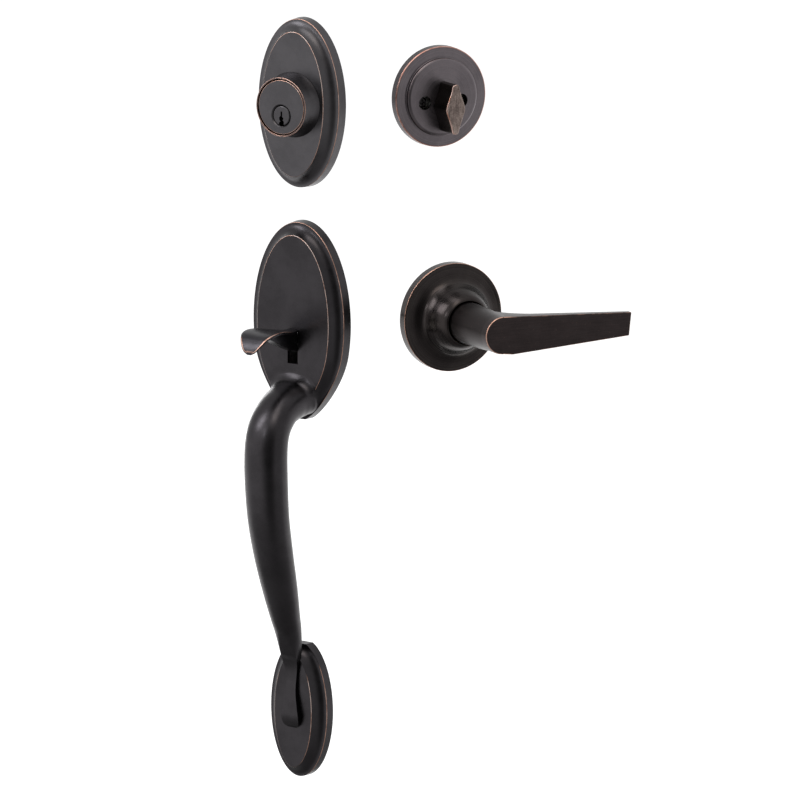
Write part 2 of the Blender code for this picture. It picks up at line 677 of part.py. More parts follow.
def build_thumbpiece(bronze, steel, brass):
    frame = "outside_handle"
    pivot = (0.0, -PIVOT_DROP, PIVOT_OUT)
    half = SLOT_HALF_WIDTH - 0.0004
    thumbpiece = loft("thumbpiece", [[(x, y + PIVOT_DROP, z - PIVOT_OUT) for x, y, z in ring]
                                     for ring in pad_rings()], frame, pivot, bronze)
    face = HANDLE_PLATE_HEIGHT
    top = -SLOT_TOP - 0.0007
    depth = SLOT_BOTTOM - SLOT_TOP
    boss_top = PIVOT_BOSS_RADIUS - PIVOT_DROP
    web = [(PIVOT_OUT, boss_top), (face, top), (face + 0.60 * PAD_LENGTH, top + 0.0008),
           (face + 0.66 * PAD_LENGTH, top - 0.0004), (face + 0.34 * PAD_LENGTH, -SLOT_TOP - 0.30 * depth),
           (face + 0.10 * PAD_LENGTH, -SLOT_TOP - 0.53 * depth), (face, -SLOT_TOP - 0.61 * depth),
           (PIVOT_OUT, boss_top - 2 * PIVOT_BOSS_RADIUS)]
    web = [(z - PIVOT_OUT, y + PIVOT_DROP) for z, y in web]
    join(thumbpiece, slab("thumb_web", web, -half, half, frame, pivot, across=True),
         rod("thumb_boss", PIVOT_BOSS_RADIUS, -half, half, frame, pivot, sides=HOLE_SIDES, along="X"))
    cut(thumbpiece, rod("thumb_hole", PIVOT_RADIUS + GAP, -half - PAST, half + PAST, frame, pivot,
                        along="X"))

    rod("pivot_shaft", PIVOT_RADIUS, -PIVOT_HALF_LENGTH, PIVOT_HALF_LENGTH, frame, pivot, steel, along="X")
    arm_from = CAM_HUB_RADIUS + 0.0001
    arm_to = arm_from + LIFT_ARM_WIDTH
    arm = rod("lift_arm", LIFT_HUB_RADIUS, arm_from, arm_to, frame, pivot, steel, along="X")
    slope = math.atan2(LIFT_ARM_RISE, LIFT_ARM_REACH)
    side = (LIFT_ARM_HALF_THICKNESS * math.sin(slope), LIFT_ARM_HALF_THICKNESS * math.cos(slope))
    bar = [(side[0], side[1]), (-LIFT_ARM_REACH + side[0], LIFT_ARM_RISE + side[1]),
           (-LIFT_ARM_REACH - side[1], LIFT_ARM_RISE), (-LIFT_ARM_REACH - side[0], LIFT_ARM_RISE - side[1]),
           (-side[0], -side[1])]
    join(arm, slab("lift_bar", bar, arm_from, arm_to, frame, pivot, across=True))
    cut(arm, rod("lift_hole", PIVOT_RADIUS + GAP, arm_from - PAST, arm_to + PAST, frame, pivot,
                 along="X"))
    coil("thumbpiece_spring", THUMB_SPRING_RADIUS, THUMB_SPRING_WIRE, -EAR_OUT + 0.0020,
         -SLOT_HALF_WIDTH - 0.0008, THUMB_SPRING_TURNS, frame, pivot, brass, along="X")


def build_bracket(steel):
    frame = "outside_handle"
    front = BRACKET_BACK + BRACKET_SHEET
    bracket = box("latch_bracket", (-BRACKET_HALF_WIDTH, -BRACKET_BOTTOM, BRACKET_BACK),
                  (BRACKET_HALF_WIDTH, BRACKET_TOP, front), frame, material=steel)
    ear_half = PIVOT_RADIUS + 0.0025
    for side in (-1, 1):
        ear = box(f"ear_{side}", (side * EAR_OUT - 0.0008, -PIVOT_DROP - ear_half, BRACKET_BACK + 0.0002),
                  (side * EAR_OUT + 0.0008, -PIVOT_DROP + ear_half, front + EAR_HEIGHT), frame)
        join(bracket, ear)
        cut(bracket, rod(f"through_bolt_hole_{side}", SCREW_RADIUS + SLACK, BRACKET_BACK - PAST,
                         front + PAST, frame, (side * POST_SPACING / 2, 0.0, 0.0)))
    cut(bracket, rod("ear_holes", PIVOT_RADIUS + GAP, -PIVOT_HALF_LENGTH, PIVOT_HALF_LENGTH, frame,
                     (0.0, -PIVOT_DROP, PIVOT_OUT), along="X"))
    cut(bracket, box("tail_window", (-WINDOW_HALF_WIDTH, -WINDOW_BOTTOM, BRACKET_BACK - PAST),
                     (WINDOW_HALF_WIDTH, -WINDOW_TOP, front + 0.0005), frame))
    notch_from = CAM_HUB_RADIUS - 0.0003
    cut(bracket, box("arm_notch", (notch_from, -WINDOW_TOP - PAST, BRACKET_BACK - PAST),
                     (notch_from + LIFT_ARM_WIDTH + 0.0008, -0.0042, front + 0.0005), frame))
    cut(bracket, rod("cam_bearing", CAM_JOURNAL_RADIUS + GAP, BRACKET_BACK - PAST, front + PAST, frame,
                     sides=ROUND_SIDES))
    for name, height in (("upper", BOSS_RISE), ("lower", -BOSS_FALL)):
        at = (0.0, height, 0.0)
        cut(bracket, rod(f"bracket_hole_{name}", SMALL_SCREW_RADIUS + GAP, BRACKET_BACK - PAST,
                         front + PAST, frame, at))
        screw_piece(f"bracket_screw_{name}", SMALL_HEAD_RADIUS, SMALL_HEAD_HEIGHT, SMALL_SCREW_RADIUS,
                    BRACKET_BACK - GAP, HANDLE_PLATE_HEIGHT - PLATE_WALL - 0.0020, frame, at, steel)


def build_cam(steel, dark):
    frame = "outside_handle"
    hub_front = BRACKET_BACK - GAP
    hub_back = hub_front - CAM_DEPTH
    ring_back = BRACKET_BACK + BRACKET_SHEET + GAP
    ring_front = ring_back + CLIP_SHEET
    groove = CAM_JOURNAL_RADIUS - GROOVE_DEPTH
    cam = turned("latch_cam",
                 [(0.0, ring_front + 0.0010), (CAM_JOURNAL_RADIUS, ring_front + 0.0010),
                  (CAM_JOURNAL_RADIUS, ring_front + 0.0002), (groove, ring_front + 0.0002),
                  (groove, ring_back - 0.0002), (CAM_JOURNAL_RADIUS, ring_back - 0.0002),
                  (CAM_JOURNAL_RADIUS, hub_front), (CAM_HUB_RADIUS, hub_front),
                  (CAM_HUB_RADIUS, hub_back), (0.0, hub_back)],
                 frame, material=steel, sides=ROUND_SIDES)
    tab = CAM_PIN_RADIUS + 0.0006
    join(cam, box("cam_tab", (0.0, -tab, hub_back), (CAM_ARM + tab, tab, hub_front - 0.0023), frame),
         rod("cam_pin", CAM_PIN_RADIUS, hub_back - CAM_PIN_LENGTH, hub_back + 0.0010, frame,
             (CAM_ARM, 0.0, 0.0)))
    reach = LATCH_SPINDLE_SIDE / 2
    hole = reach + GAP
    cut(cam, box("cam_square", (-hole, -hole, hub_back - PAST), (hole, hole, ring_front + 0.003), frame))
    bevel(box("latch_spindle", (-reach, -reach, LATCH_SPINDLE_END), (reach, reach, ring_front), frame,
              material=dark), 0.0004, 1)
    retaining_ring("cam_ring", groove, ring_back, ring_front, frame, (0.0, 0.0, 0.0), steel, CAM_RING_WIDTH)


def build_lower_stud(steel):
    top = LOWER_PLATE_HEIGHT - PLATE_WALL - STUD_SHORT - GAP
    tip = LOWER_STUD_RADIUS * 0.6
    turned("lower_stud",
           [(0.0, top), (LOWER_STUD_RADIUS, top), (LOWER_STUD_RADIUS, LOWER_STUD_END + LOWER_STUD_RADIUS / 3),
            (tip, LOWER_STUD_END), (0.0, LOWER_STUD_END)],
           "outside_handle", (0.0, -LOWER_DROP - LOWER_STUD_FALL, 0.0), steel, sides=SMALL_SIDES)


# Inside, thumbturn

def build_thumbturn_rose(bronze):
    frame = "inside_thumbturn"
    hole = TURN_SHAFT_RADIUS + GAP
    disc = TURN_DISC_RADIUS
    outline = [(0.0, TURN_DISC_HEIGHT), (disc - 0.0012, TURN_DISC_HEIGHT - 0.0002),
               (disc - 0.0003, TURN_DISC_HEIGHT - 0.0008), (disc, TURN_LEDGE + 0.0006),
               (disc + 0.0005, TURN_LEDGE - 0.0002), (disc + 0.0014, TURN_LEDGE),
               (TURN_ROSE_RADIUS - 0.0010, TURN_LEDGE - 0.0002), (TURN_ROSE_RADIUS, TURN_LEDGE - 0.0012),
               (TURN_ROSE_RADIUS, 0.0)]
    line = sheet_profile(outline, 0.0, ROSE_SHEET)
    rose = turned("thumbturn_rose", line, frame, material=bronze, sides=OVAL_SIDES)
    cut(rose, rod("turn_shaft_hole", hole, 0.0, TURN_DISC_HEIGHT + PAST, frame, (0.0, -PLUG_DROP, 0.0),
                  sides=HOLE_SIDES))
    for side in (-1, 1):
        cut(rose, rod(f"screw_window_{side}", RECESS_RADIUS, 0.003, TURN_DISC_HEIGHT + PAST, frame,
                      (side * TURN_SCREW_SPACING / 2, -TURN_SCREW_DROP, 0.0), sides=HOLE_SIDES))
    return rose


def thumbturn_outline():
    """The lozenge with drawn-in ends: four quarters mirrored from one."""
    quarter = [(0.30, 0.955), (0.47, 0.69), (0.70, 0.42), (0.97, 0.09)]
    right = [*quarter, *[(x, -y) for x, y in reversed(quarter)]]
    points = [(0.0, 1.0), *right, (0.0, -1.0), *[(-x, y) for x, y in reversed(right)]]
    line = smooth_path([(x * TURN_HALF_WIDTH, y * TURN_HALF_HEIGHT, 0.0) for x, y in points], 3, closed=True)
    return [(point[0], point[1]) for point in line]


def build_thumbturn(bronze, steel):
    frame = "inside_thumbturn"
    axis = (0.0, -PLUG_DROP, 0.0)
    outline = thumbturn_outline()
    base = TURN_DISC_HEIGHT + GAP
    edge = 0.0005
    rings = []
    for height, scale in ((base, 1.0), (TURN_FRONT - edge, 1.0), (TURN_FRONT, 0.95)):
        rings.append([(x * scale, y * scale, height) for x, y in outline])
    knob = loft("thumbturn", rings, frame, axis, bronze)
    clip_front = BACKING_BACK - GAP
    clip_back = clip_front - CLIP_SHEET
    groove = TURN_SHAFT_RADIUS - GROOVE_DEPTH
    shaft = [(0.0, base + 0.0010), (TURN_SHAFT_RADIUS, base + 0.0010),
             (TURN_SHAFT_RADIUS, clip_front + 0.0002), (groove, clip_front + 0.0002),
             (groove, clip_back - 0.0002), (TURN_SHAFT_RADIUS, clip_back - 0.0002),
             (TURN_SHAFT_RADIUS, TURN_SHAFT_END), (0.0, TURN_SHAFT_END)]
    join(knob, turned("turn_shaft", shaft, frame, axis, sides=HOLE_SIDES))
    cut(knob, box("tail_slot", (-TAIL_SHEET / 2 - GAP, -TAIL_WIDTH / 2 - GAP, TURN_SHAFT_END - PAST),
                  (TAIL_SHEET / 2 + GAP, TAIL_WIDTH / 2 + GAP, clip_back + 0.0040), frame, axis))
    retaining_ring("thumbturn_clip", groove, clip_back, clip_front, frame, axis, steel, CLIP_WIDTH)


def build_thumbturn_mounting(steel, dark):
    frame = "inside_thumbturn"
    front = BACKING_BACK + BACKING_SHEET
    plate = rod("thumbturn_backing_plate", TURN_ROSE_RADIUS - ROSE_SHEET - GAP, BACKING_BACK, front, frame,
                material=steel, sides=ROUND_SIDES)
    cut(plate, rod("backing_shaft_hole", TURN_SHAFT_RADIUS + GAP, 0.0, front + PAST, frame,
                   (0.0, -PLUG_DROP, 0.0)))
    seat = front + GAP
    for name, side in (("left", -1), ("right", 1)):
        at = (side * TURN_SCREW_SPACING / 2, -TURN_SCREW_DROP, 0.0)
        cut(plate, rod(f"backing_screw_hole_{name}", SCREW_RADIUS + GAP, 0.0, front + PAST, frame, at))
        screw_piece(f"thumbturn_screw_{name}", SCREW_HEAD_RADIUS, SCREW_HEAD_HEIGHT, SCREW_RADIUS, seat,
                    TURN_SCREW_END, frame, at, dark)
    sheet = 0.0006
    under = TURN_DISC_HEIGHT - ROSE_SHEET - GAP
    inner = TURN_SHAFT_RADIUS + 2 * GAP
    turned("thumbturn_spring_washer",
           [(inner + sheet, under), (WASHER_RADIUS, seat + sheet), (WASHER_RADIUS, seat),
            (WASHER_RADIUS - sheet, seat), (inner, under - sheet), (inner, under)],
           frame, (0.0, -PLUG_DROP, 0.0), steel, sides=HOLE_SIDES, ring=True)


# Inside, lever

def build_lever_rose(bronze):
    width = LEVER_ROSE_RADIUS - LEVER_HOLE_RADIUS
    rise = LEVER_ROSE_FRONT - LEVER_ROSE_RIM
    trumpet = [(0.151, 0.855), (0.263, 0.629), (0.361, 0.371), (0.473, 0.188), (0.649, 0.081)]
    outline = [(LEVER_HOLE_RADIUS, LEVER_ROSE_FRONT), (LEVER_HOLE_RADIUS + 0.0009, LEVER_ROSE_FRONT - 0.0004),
               *[(LEVER_HOLE_RADIUS + across * width, LEVER_ROSE_RIM + up * rise) for across, up in trumpet],
               (LEVER_ROSE_RADIUS - 0.0005, LEVER_ROSE_RIM), (LEVER_ROSE_RADIUS, LEVER_ROSE_RIM - 0.0005),
               (LEVER_ROSE_RADIUS, 0.0)]
    turned("lever_rose", sheet_profile(outline, LEVER_HOLE_RADIUS, ROSE_SHEET), "inside_lever",
           material=bronze, sides=OVAL_SIDES, ring=True)


def blade_rings():
    """Rounded oblong sections across the lever's blade, from inside the shank to its tip."""
    rows = [(0.00, 2.1), (0.07, 1.75), (0.14, 1.35), (0.24, 1.08), (0.40, 1.0), (0.70, 1.0), (0.985, 1.0),
            (1.00, 0.94)]
    rings = []
    for share, swell in rows:
        half = LEVER_ROOT_HALF_HEIGHT + share * (LEVER_TIP_HALF_HEIGHT - LEVER_ROOT_HALF_HEIGHT)
        thick = LEVER_ROOT_THICKNESS + share * (LEVER_TIP_THICKNESS - LEVER_ROOT_THICKNESS)
        if share == 1.0:
            half -= LEVER_EDGE_ROUND * 0.5
        middle = share * LEVER_TIP_RISE
        back = LEVER_FRONT - thick * swell
        front = LEVER_FRONT - (LEVER_EDGE_ROUND * 0.4 if share == 1.0 else 0.0)
        x = share * LEVER_REACH
        ring = []
        corners = ((half, back, 1, 1), (half, front, 1, -1), (-half, front, -1, -1), (-half, back, -1, 1))
        for index, (up, out, up_side, out_side) in enumerate(corners):
            rounding = LEVER_EDGE_ROUND if out_side < 0 else 2.5 * LEVER_EDGE_ROUND
            along = [(0.0, 1.0), (0.29, 0.29), (1.0, 0.0)]
            if index in (0, 2):
                along.reverse()
            for inward, outward in along:
                ring.append((x, middle + up - up_side * rounding * inward,
                             out + out_side * rounding * outward))
        rings.append(ring)
    return rings


def build_lever(bronze, steel):
    frame = "inside_lever"
    edge = 0.0005
    line = [(0.0, LEVER_FRONT), (SHANK_FRONT_RADIUS - edge, LEVER_FRONT),
            (SHANK_FRONT_RADIUS, LEVER_FRONT - edge), (SHANK_FRONT_RADIUS + 0.0001, LEVER_FRONT - 0.010),
            (SHANK_RADIUS - 0.0005, LEVER_FRONT - 0.024), (SHANK_RADIUS, LEVER_ROSE_FRONT + 0.004),
            (SHANK_RADIUS, SHANK_BACK), (0.0, SHANK_BACK)]
    lever = turned("lever_handle", line, frame, material=bronze, sides=ROUND_SIDES)
    join(lever, loft("lever_blade", blade_rings(), frame))
    cut(lever, rod("shank_bore", DRIVER_RADIUS + GAP, SHANK_BACK - PAST, SHANK_BACK + SHANK_BORE_DEPTH,
                   frame, sides=ROUND_SIDES))
    screw_at = (0.0, 0.0, SET_SCREW_OUT)
    outer = SHANK_RADIUS - 0.0008
    cut(lever, rod("set_screw_hole", SET_SCREW_RADIUS + GAP, -SHANK_RADIUS - 0.002, -DRIVER_RADIUS + PAST,
                   frame, screw_at, along="Y"))
    screw = rod("lever_set_screw", SET_SCREW_RADIUS, -outer, -DRIVER_RADIUS - GAP, frame, screw_at, steel,
                along="Y")
    cut(screw, rod("hex_socket", SET_SCREW_RADIUS * 0.55, -outer - PAST, -outer + 0.0014, frame, screw_at,
                   sides=6, along="Y"))


def build_lever_mounting(steel, dark, brass):
    frame = "inside_lever"
    front = CHASSIS_BACK + CHASSIS_SHEET
    seat = front + GAP
    chassis = rod("lever_chassis", LEVER_ROSE_RADIUS - ROSE_SHEET - GAP, CHASSIS_BACK, front, frame,
                  material=steel, sides=ROUND_SIDES)
    cut(chassis, rod("chassis_bearing", DRIVER_RADIUS + GAP, 0.0, front + PAST, frame, sides=ROUND_SIDES))
    for name, side in (("left", -1), ("right", 1)):
        at = (side * POST_SPACING / 2, 0.0, 0.0)
        cut(chassis, rod(f"chassis_screw_hole_{name}", SCREW_RADIUS + SLACK, 0.0, front + PAST, frame, at))
        screw_piece(f"lever_screw_{name}", LEVER_SCREW_HEAD_RADIUS, SCREW_HEAD_HEIGHT, SCREW_RADIUS, seat,
                    LEVER_SCREW_END, frame, at, dark)
    inner = SHANK_RADIUS + GAP
    turned("lever_bushing", washer_profile(inner, inner + BUSHING_WALL, seat, seat + BUSHING_LENGTH), frame,
           material=brass, ring=True)

    flange_front = seat + DRIVER_FLANGE
    ring_front = CHASSIS_BACK - GAP - 2 * LEVER_SPRING_WIRE * (LEVER_SPRING_TURNS + 1) - 0.0020
    ring_back = ring_front - CLIP_SHEET
    groove = DRIVER_RADIUS - GROOVE_DEPTH
    tube_front = SHANK_BACK + SHANK_BORE_DEPTH - GAP
    driver = turned("spring_driver",
                    [(0.0, tube_front), (DRIVER_RADIUS, tube_front), (DRIVER_RADIUS, flange_front),
                     (SHANK_RADIUS - GAP, flange_front), (SHANK_RADIUS - GAP, seat), (DRIVER_RADIUS, seat),
                     (DRIVER_RADIUS, ring_front + 0.0002), (groove, ring_front + 0.0002),
                     (groove, ring_back - 0.0002), (DRIVER_RADIUS, ring_back - 0.0002),
                     (DRIVER_RADIUS, DRIVER_END), (0.0, DRIVER_END)],
                    frame, material=steel, sides=ROUND_SIDES)
    reach = LEVER_SPINDLE_SIDE / 2
    hole = reach + GAP
    cut(driver, box("driver_square", (-hole, -hole, DRIVER_END - PAST), (hole, hole, tube_front + PAST),
                    frame))
    bevel(box("lever_spindle", (-reach, -reach, LEVER_SPINDLE_END), (reach, reach, tube_front - 0.004), frame,
              material=dark), 0.0005, 1)
    retaining_ring("lever_clip", groove, ring_back, ring_front, frame, (0.0, 0.0, 0.0), steel, CLIP_WIDTH)
    spring_front = CHASSIS_BACK - GAP - LEVER_SPRING_WIRE
    coil("lever_return_spring", LEVER_SPRING_RADIUS, LEVER_SPRING_WIRE, spring_front,
         ring_front + GAP + LEVER_SPRING_WIRE, LEVER_SPRING_TURNS, frame, (0.0, 0.0, 0.0), brass)


def build():
    clear_scene()
    door_frame("outside_deadbolt", (0.0, 0.0, BORE_SPACING), 0.0)
    door_frame("outside_handle", (0.0, 0.0, 0.0), 0.0)
    door_frame("inside_thumbturn", (THUMBTURN_X, THUMBTURN_Y, BORE_SPACING), INSIDE_TURN)
    door_frame("inside_lever", (LEVER_X, LEVER_Y, 0.0), INSIDE_TURN)
    plate_bronze = finish("plate bronze", (0.042, 0.040, 0.041), 0.38)
    handle_bronze = finish("handle bronze", (0.030, 0.028, 0.027), 0.34)
    thumb_bronze = finish("thumbpiece bronze", (0.034, 0.032, 0.033), 0.32)
    turn_bronze = finish("thumbturn bronze", (0.060, 0.052, 0.052), 0.36)
    lever_bronze = finish("lever bronze", (0.020, 0.017, 0.016), 0.33)
    plug_bronze = finish("plug bronze", (0.034, 0.033, 0.034), 0.40)
    steel = finish("zinc-plated steel", (0.52, 0.52, 0.50), 0.35, 1.0)
    dark = finish("blackened steel", (0.030, 0.029, 0.030), 0.35, 1.0)
    brass = finish("spring bronze", (0.45, 0.32, 0.16), 0.35, 1.0)

    build_deadbolt_plate(plate_bronze)
    build_cylinder(plate_bronze, plug_bronze, dark)
    build_handle_casting(handle_bronze)
    build_thumbpiece(thumb_bronze, steel, brass)
    build_bracket(steel)
    build_cam(steel, dark)
    build_lower_stud(steel)
    build_thumbturn_rose(turn_bronze)
    build_thumbturn(turn_bronze, steel)
    build_thumbturn_mounting(steel, dark)
    build_lever_rose(lever_bronze)
    build_lever(lever_bronze, steel)
    build_lever_mounting(steel, dark, brass)


build()
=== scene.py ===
"""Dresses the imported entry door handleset: fine castings, rubbed bronze, plain studio light and camera.

Units are metres. Each assembly's pieces are made in its own door frame: X to the right, Y up and Z straight
out of the door, with the origin where the bore's axis meets the door's face.
"""

import json
import math

import bmesh
import bpy
import numpy as np
from mathutils import Matrix, Quaternion, Vector


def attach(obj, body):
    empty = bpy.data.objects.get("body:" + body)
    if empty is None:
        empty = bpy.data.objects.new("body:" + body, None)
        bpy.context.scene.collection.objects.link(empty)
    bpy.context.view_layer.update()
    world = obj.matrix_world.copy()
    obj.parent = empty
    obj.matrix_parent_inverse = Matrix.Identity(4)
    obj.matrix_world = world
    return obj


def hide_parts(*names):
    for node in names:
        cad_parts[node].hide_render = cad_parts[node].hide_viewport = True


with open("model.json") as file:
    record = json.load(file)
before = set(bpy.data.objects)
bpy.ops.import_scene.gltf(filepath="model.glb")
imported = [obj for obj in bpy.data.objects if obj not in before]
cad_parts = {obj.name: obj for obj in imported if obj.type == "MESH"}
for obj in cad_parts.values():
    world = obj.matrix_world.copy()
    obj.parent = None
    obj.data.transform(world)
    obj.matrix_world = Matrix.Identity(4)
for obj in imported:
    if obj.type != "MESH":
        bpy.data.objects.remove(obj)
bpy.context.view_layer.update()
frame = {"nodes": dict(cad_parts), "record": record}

# Sizes, as in the CAD where it has them
GAP = 0.0003
BORE_SPACING = 0.1397
INSIDE_TURN = math.radians(60.5)
THUMBTURN_X = 0.0533
THUMBTURN_Y = 0.0699
LEVER_X = 0.0662
LEVER_Y = 0.0652

RIM_DRAFT = 0.0006
RIM_ROUND = 0.0004
COVE_WIDTH = 0.0075
COVE_SWEEP = math.radians(60.0)
PLATE_WALL = 0.0024
FOOT_ROUND = 0.0002
RIM_LAND = 0.0008
FACE_ROUND = 0.00035
FACE_LAND = 0.0016
COVE_START = 0.0010
BOLT_PLATE = (0.0310, 0.0538, 0.0074, 0.0138)       # half width, half height, rim, height
HANDLE_PLATE = (0.0351, 0.0640, 0.0073, 0.0137)
LOWER_PLATE = (0.0223, 0.0450, 0.0065, 0.0132)
CHIN_CUT = 0.0020
LOWER_CHIN_CUT = 0.0011
HANDLE_TALLER = 0.0008
LOWER_TALLER = 0.0010
TAPER_SHARE = 0.24
TAPER_POWER = 1.7
TAPER_START = 0.020
TAPER_RUN = 0.039

LOWER_DROP = 0.2530
NECK_DROP = 0.0482
GRIP_REACH = 0.0432
GRIP_HALF_WIDTH = 0.0142
GRIP_HALF_DEPTH = 0.0120
TEARDROP_HALF_WIDTH = 0.0060
TEARDROP_HALF_DEPTH = 0.0054
SECTION_POWER = 2.2
TEARDROP_START = 0.72        # share of the drop
TEARDROP_BLEND = 0.10
NECK_FILLET = 0.0048
NECK_END = 0.110             # share of the drop
LEAST_FILLET = 0.0004
FILLET_BORDER = 0.0030

PIVOT_DROP = 0.0110
PIVOT_OUT = 0.0055
PIVOT_RADIUS = 0.0020
PIVOT_BOSS_RADIUS = 0.0038
SLOT_HALF_WIDTH = 0.0039
SLOT_TOP = 0.0050
SLOT_BOTTOM = 0.0255
PAD_LENGTH = 0.0477
PAD_HALF_WIDTH = 0.0125
PAD_THICKNESS = 0.0030
PAD_DISH = 0.0009
PAD_TOP_DROP = 0.0024
PAD_DROOP = 0.0084
BRACKET_FRONT = 0.0027
POST_SPACING = 0.0380
POST_RADIUS = 0.0042
POST_HOLE_RADIUS = 0.0017
BOSS_RADIUS = 0.0032
BOSS_RISE = 0.0170
BOSS_FALL = 0.0335
LOWER_STUD_FALL = 0.0180
STUD_BOSS_RADIUS = 0.0052
STUD_HOLE_RADIUS = 0.0033
BOSS_HOLE_RADIUS = 0.0016
SINK = 0.0004                # how far a post or boss runs into its plate

COLLAR_BASE_RADIUS = 0.0206
COLLAR_FRONT_RADIUS = 0.0186
COLLAR_FRONT = 0.0270
COLLAR_RIM = 0.0008
COLLAR_WEB = 0.0030
SHELL_SINK = 0.0004
SHELL_GROOVE = 0.0008
SHELL_BODY_RADIUS = 0.0158
SHELL_BACK = -0.0160
PLUG_DROP = 0.0055
PLUG_RADIUS = 0.00635
PLUG_BACK = -0.0175
PLUG_MOUTH = 0.0007
POCKET_DEPTH = 0.0019
POCKET_RADIUS = 0.0046
KEYWAY_DEPTH = 0.028

ROSE_SHEET = 0.0012
TURN_ROSE_RADIUS = 0.0323
TURN_LEDGE = 0.0060
TURN_DISC_RADIUS = 0.0246
TURN_DISC_HEIGHT = 0.0088
TURN_FRONT = 0.0260
TURN_HALF_HEIGHT = 0.01575
TURN_HALF_WIDTH = 0.0066
TURN_SHAFT_RADIUS = 0.0049
TURN_SHAFT_END = -0.0040
TURN_EDGE = 0.0005
CLIP_TOP = 0.0007
CLIP_BOTTOM = -0.0005
CLIP_DEPTH = 0.0008
SCREW_SPACING = 0.0260
SCREW_DROP = 0.0029
RECESS_RADIUS = 0.0044
SCREW_HEAD_RADIUS = 0.0034
SCREW_HEAD_HEIGHT = 0.0022
SCREW_RADIUS = 0.0020
SCREW_SEAT = 0.0027
SCREW_END = -0.0230
TAIL_WIDTH = 0.0062
TAIL_SHEET = 0.0018

LEVER_ROSE_RADIUS = 0.0350
LEVER_ROSE_RIM = 0.0063
LEVER_ROSE_FRONT = 0.0268
LEVER_HOLE_RADIUS = 0.0139
SHANK_RADIUS = 0.0132
SHANK_FRONT_RADIUS = 0.0119
SHANK_BACK = 0.0050
SHANK_BORE_DEPTH = 0.0290
DRIVER_RADIUS = 0.0089
SET_SCREW_OUT = 0.0290
SET_SCREW_HOLE = 0.0019
LEVER_FRONT = 0.0725
LEVER_REACH = 0.0925
LEVER_ROOT_HALF_HEIGHT = 0.0119
LEVER_TIP_HALF_HEIGHT = 0.0075
BLADE_FULLER = 0.0006
BLADE_MIDDLE = -0.0007
BLADE_TIP = -0.0004
BLADE_SLANT = 0.10
LEVER_ROOT_THICKNESS = 0.0120
LEVER_TIP_THICKNESS = 0.0065
LEVER_EDGE_ROUND = 0.0012

# Bodies of the record
TRIM = "outside_and_inside_trim"
PLUG = "key_plug_body"
THUMB = "thumbpiece_body"
TURN = "thumbturn_body"
LEVER = "lever_body"

# Points round each section, and steps along a curve
OVAL_SIDES = 224
ROUND_SIDES = 128
GRIP_SIDES = 72
PAD_SIDES = 64
COVE_STEPS = 18
GRIP_STEPS = 12
NECK_STEPS = 28
FILLET_STEPS = 12
PAD_STEPS = 9

SHARP_ANGLE = math.radians(32.0)
OVER = 0.001                 # how far a cutter starts before the face that it opens
FAR = 0.05                   # further out than any plate


def door(x, y, z, turn):
    """The frame of a door's face at (x, y, z), turned about the vertical."""
    upright = Matrix.Rotation(math.pi / 2, 4, "X")
    return Matrix.Translation((x, y, z)) @ Matrix.Rotation(turn, 4, "Z") @ upright


DOORS = {
    "outside_deadbolt": door(0.0, 0.0, BORE_SPACING, 0.0),
    "outside_handle": door(0.0, 0.0, 0.0, 0.0),
    "inside_thumbturn": door(THUMBTURN_X, THUMBTURN_Y, BORE_SPACING, INSIDE_TURN),
    "inside_lever": door(LEVER_X, LEVER_Y, 0.0, INSIDE_TURN),
}


# Meshes. The point attribute rub says how far the dark finish is rubbed through to copper; where it is
# strongest, the shader paints that copper paler, a painted highlight.

def skin(rings, rubs=None, closed=False):
    """One skin over rings of equally many points, capped at both ends unless it closes on itself."""
    count = len(rings[0])
    points = [tuple(point) for ring in rings for point in ring]
    spans = len(rings) if closed else len(rings) - 1
    faces = []
    for i in range(spans):
        here = i * count
        there = (i + 1) % len(rings) * count
        for k in range(count):
            after = (k + 1) % count
            faces.append((here + k, here + after, there + after, there + k))
    if not closed:
        faces.append(tuple(reversed(range(count))))
        faces.append(tuple(range(len(points) - count, len(points))))
    mesh = bpy.data.meshes.new("skin")
    mesh.from_pydata(points, [], faces)
    rub = np.zeros((len(rings), count)) if rubs is None else np.array(
        [np.broadcast_to(np.asarray(share, float), count) for share in rubs])
    mesh.attributes.new("rub", "FLOAT", "POINT").data.foreach_set("value", rub.astype(np.float32).ravel())
    return outward(mesh)


def outward(mesh):
    shape = bmesh.new()
    shape.from_mesh(mesh)
    bmesh.ops.recalc_face_normals(shape, faces=shape.faces)
    shape.to_mesh(mesh)
    shape.free()
    return mesh


def merged(*meshes):
    shape = bmesh.new()
    for mesh in meshes:
        shape.from_mesh(mesh)
    mesh = bpy.data.meshes.new("merged")
    shape.to_mesh(mesh)
    shape.free()
    return mesh


def moved(mesh, x=0.0, y=0.0, z=0.0):
    mesh.transform(Matrix.Translation((x, y, z)))
    return mesh


def link(thing):
    bpy.context.scene.collection.objects.link(thing)


def carved(mesh, cutters, operation="DIFFERENCE"):
    """The mesh less its cutters, or joined with them."""
    thing = bpy.data.objects.new("carved", mesh)
    helpers = [thing]
    for cutter in cutters:
        helper = bpy.data.objects.new("cutter", cutter)
        helpers.append(helper)
        step = thing.modifiers.new("Cut", "BOOLEAN")
        step.operation = operation
        step.solver = "EXACT"
        step.object = helper
    for helper in helpers:
        link(helper)
    bpy.context.view_layer.update()
    made = bpy.data.meshes.new_from_object(thing.evaluated_get(bpy.context.evaluated_depsgraph_get()))
    for helper in helpers:
        bpy.data.objects.remove(helper)
    return made


def bent(value, power):
    """A power that keeps the sign."""
    return np.sign(value) * np.abs(value) ** power


def circle(radius, height, sides, x=0.0, y=0.0):
    turn = 2 * np.pi * np.arange(sides) / sides
    return np.stack([x + radius * np.cos(turn), y + radius * np.sin(turn), np.full(sides, height)], 1)


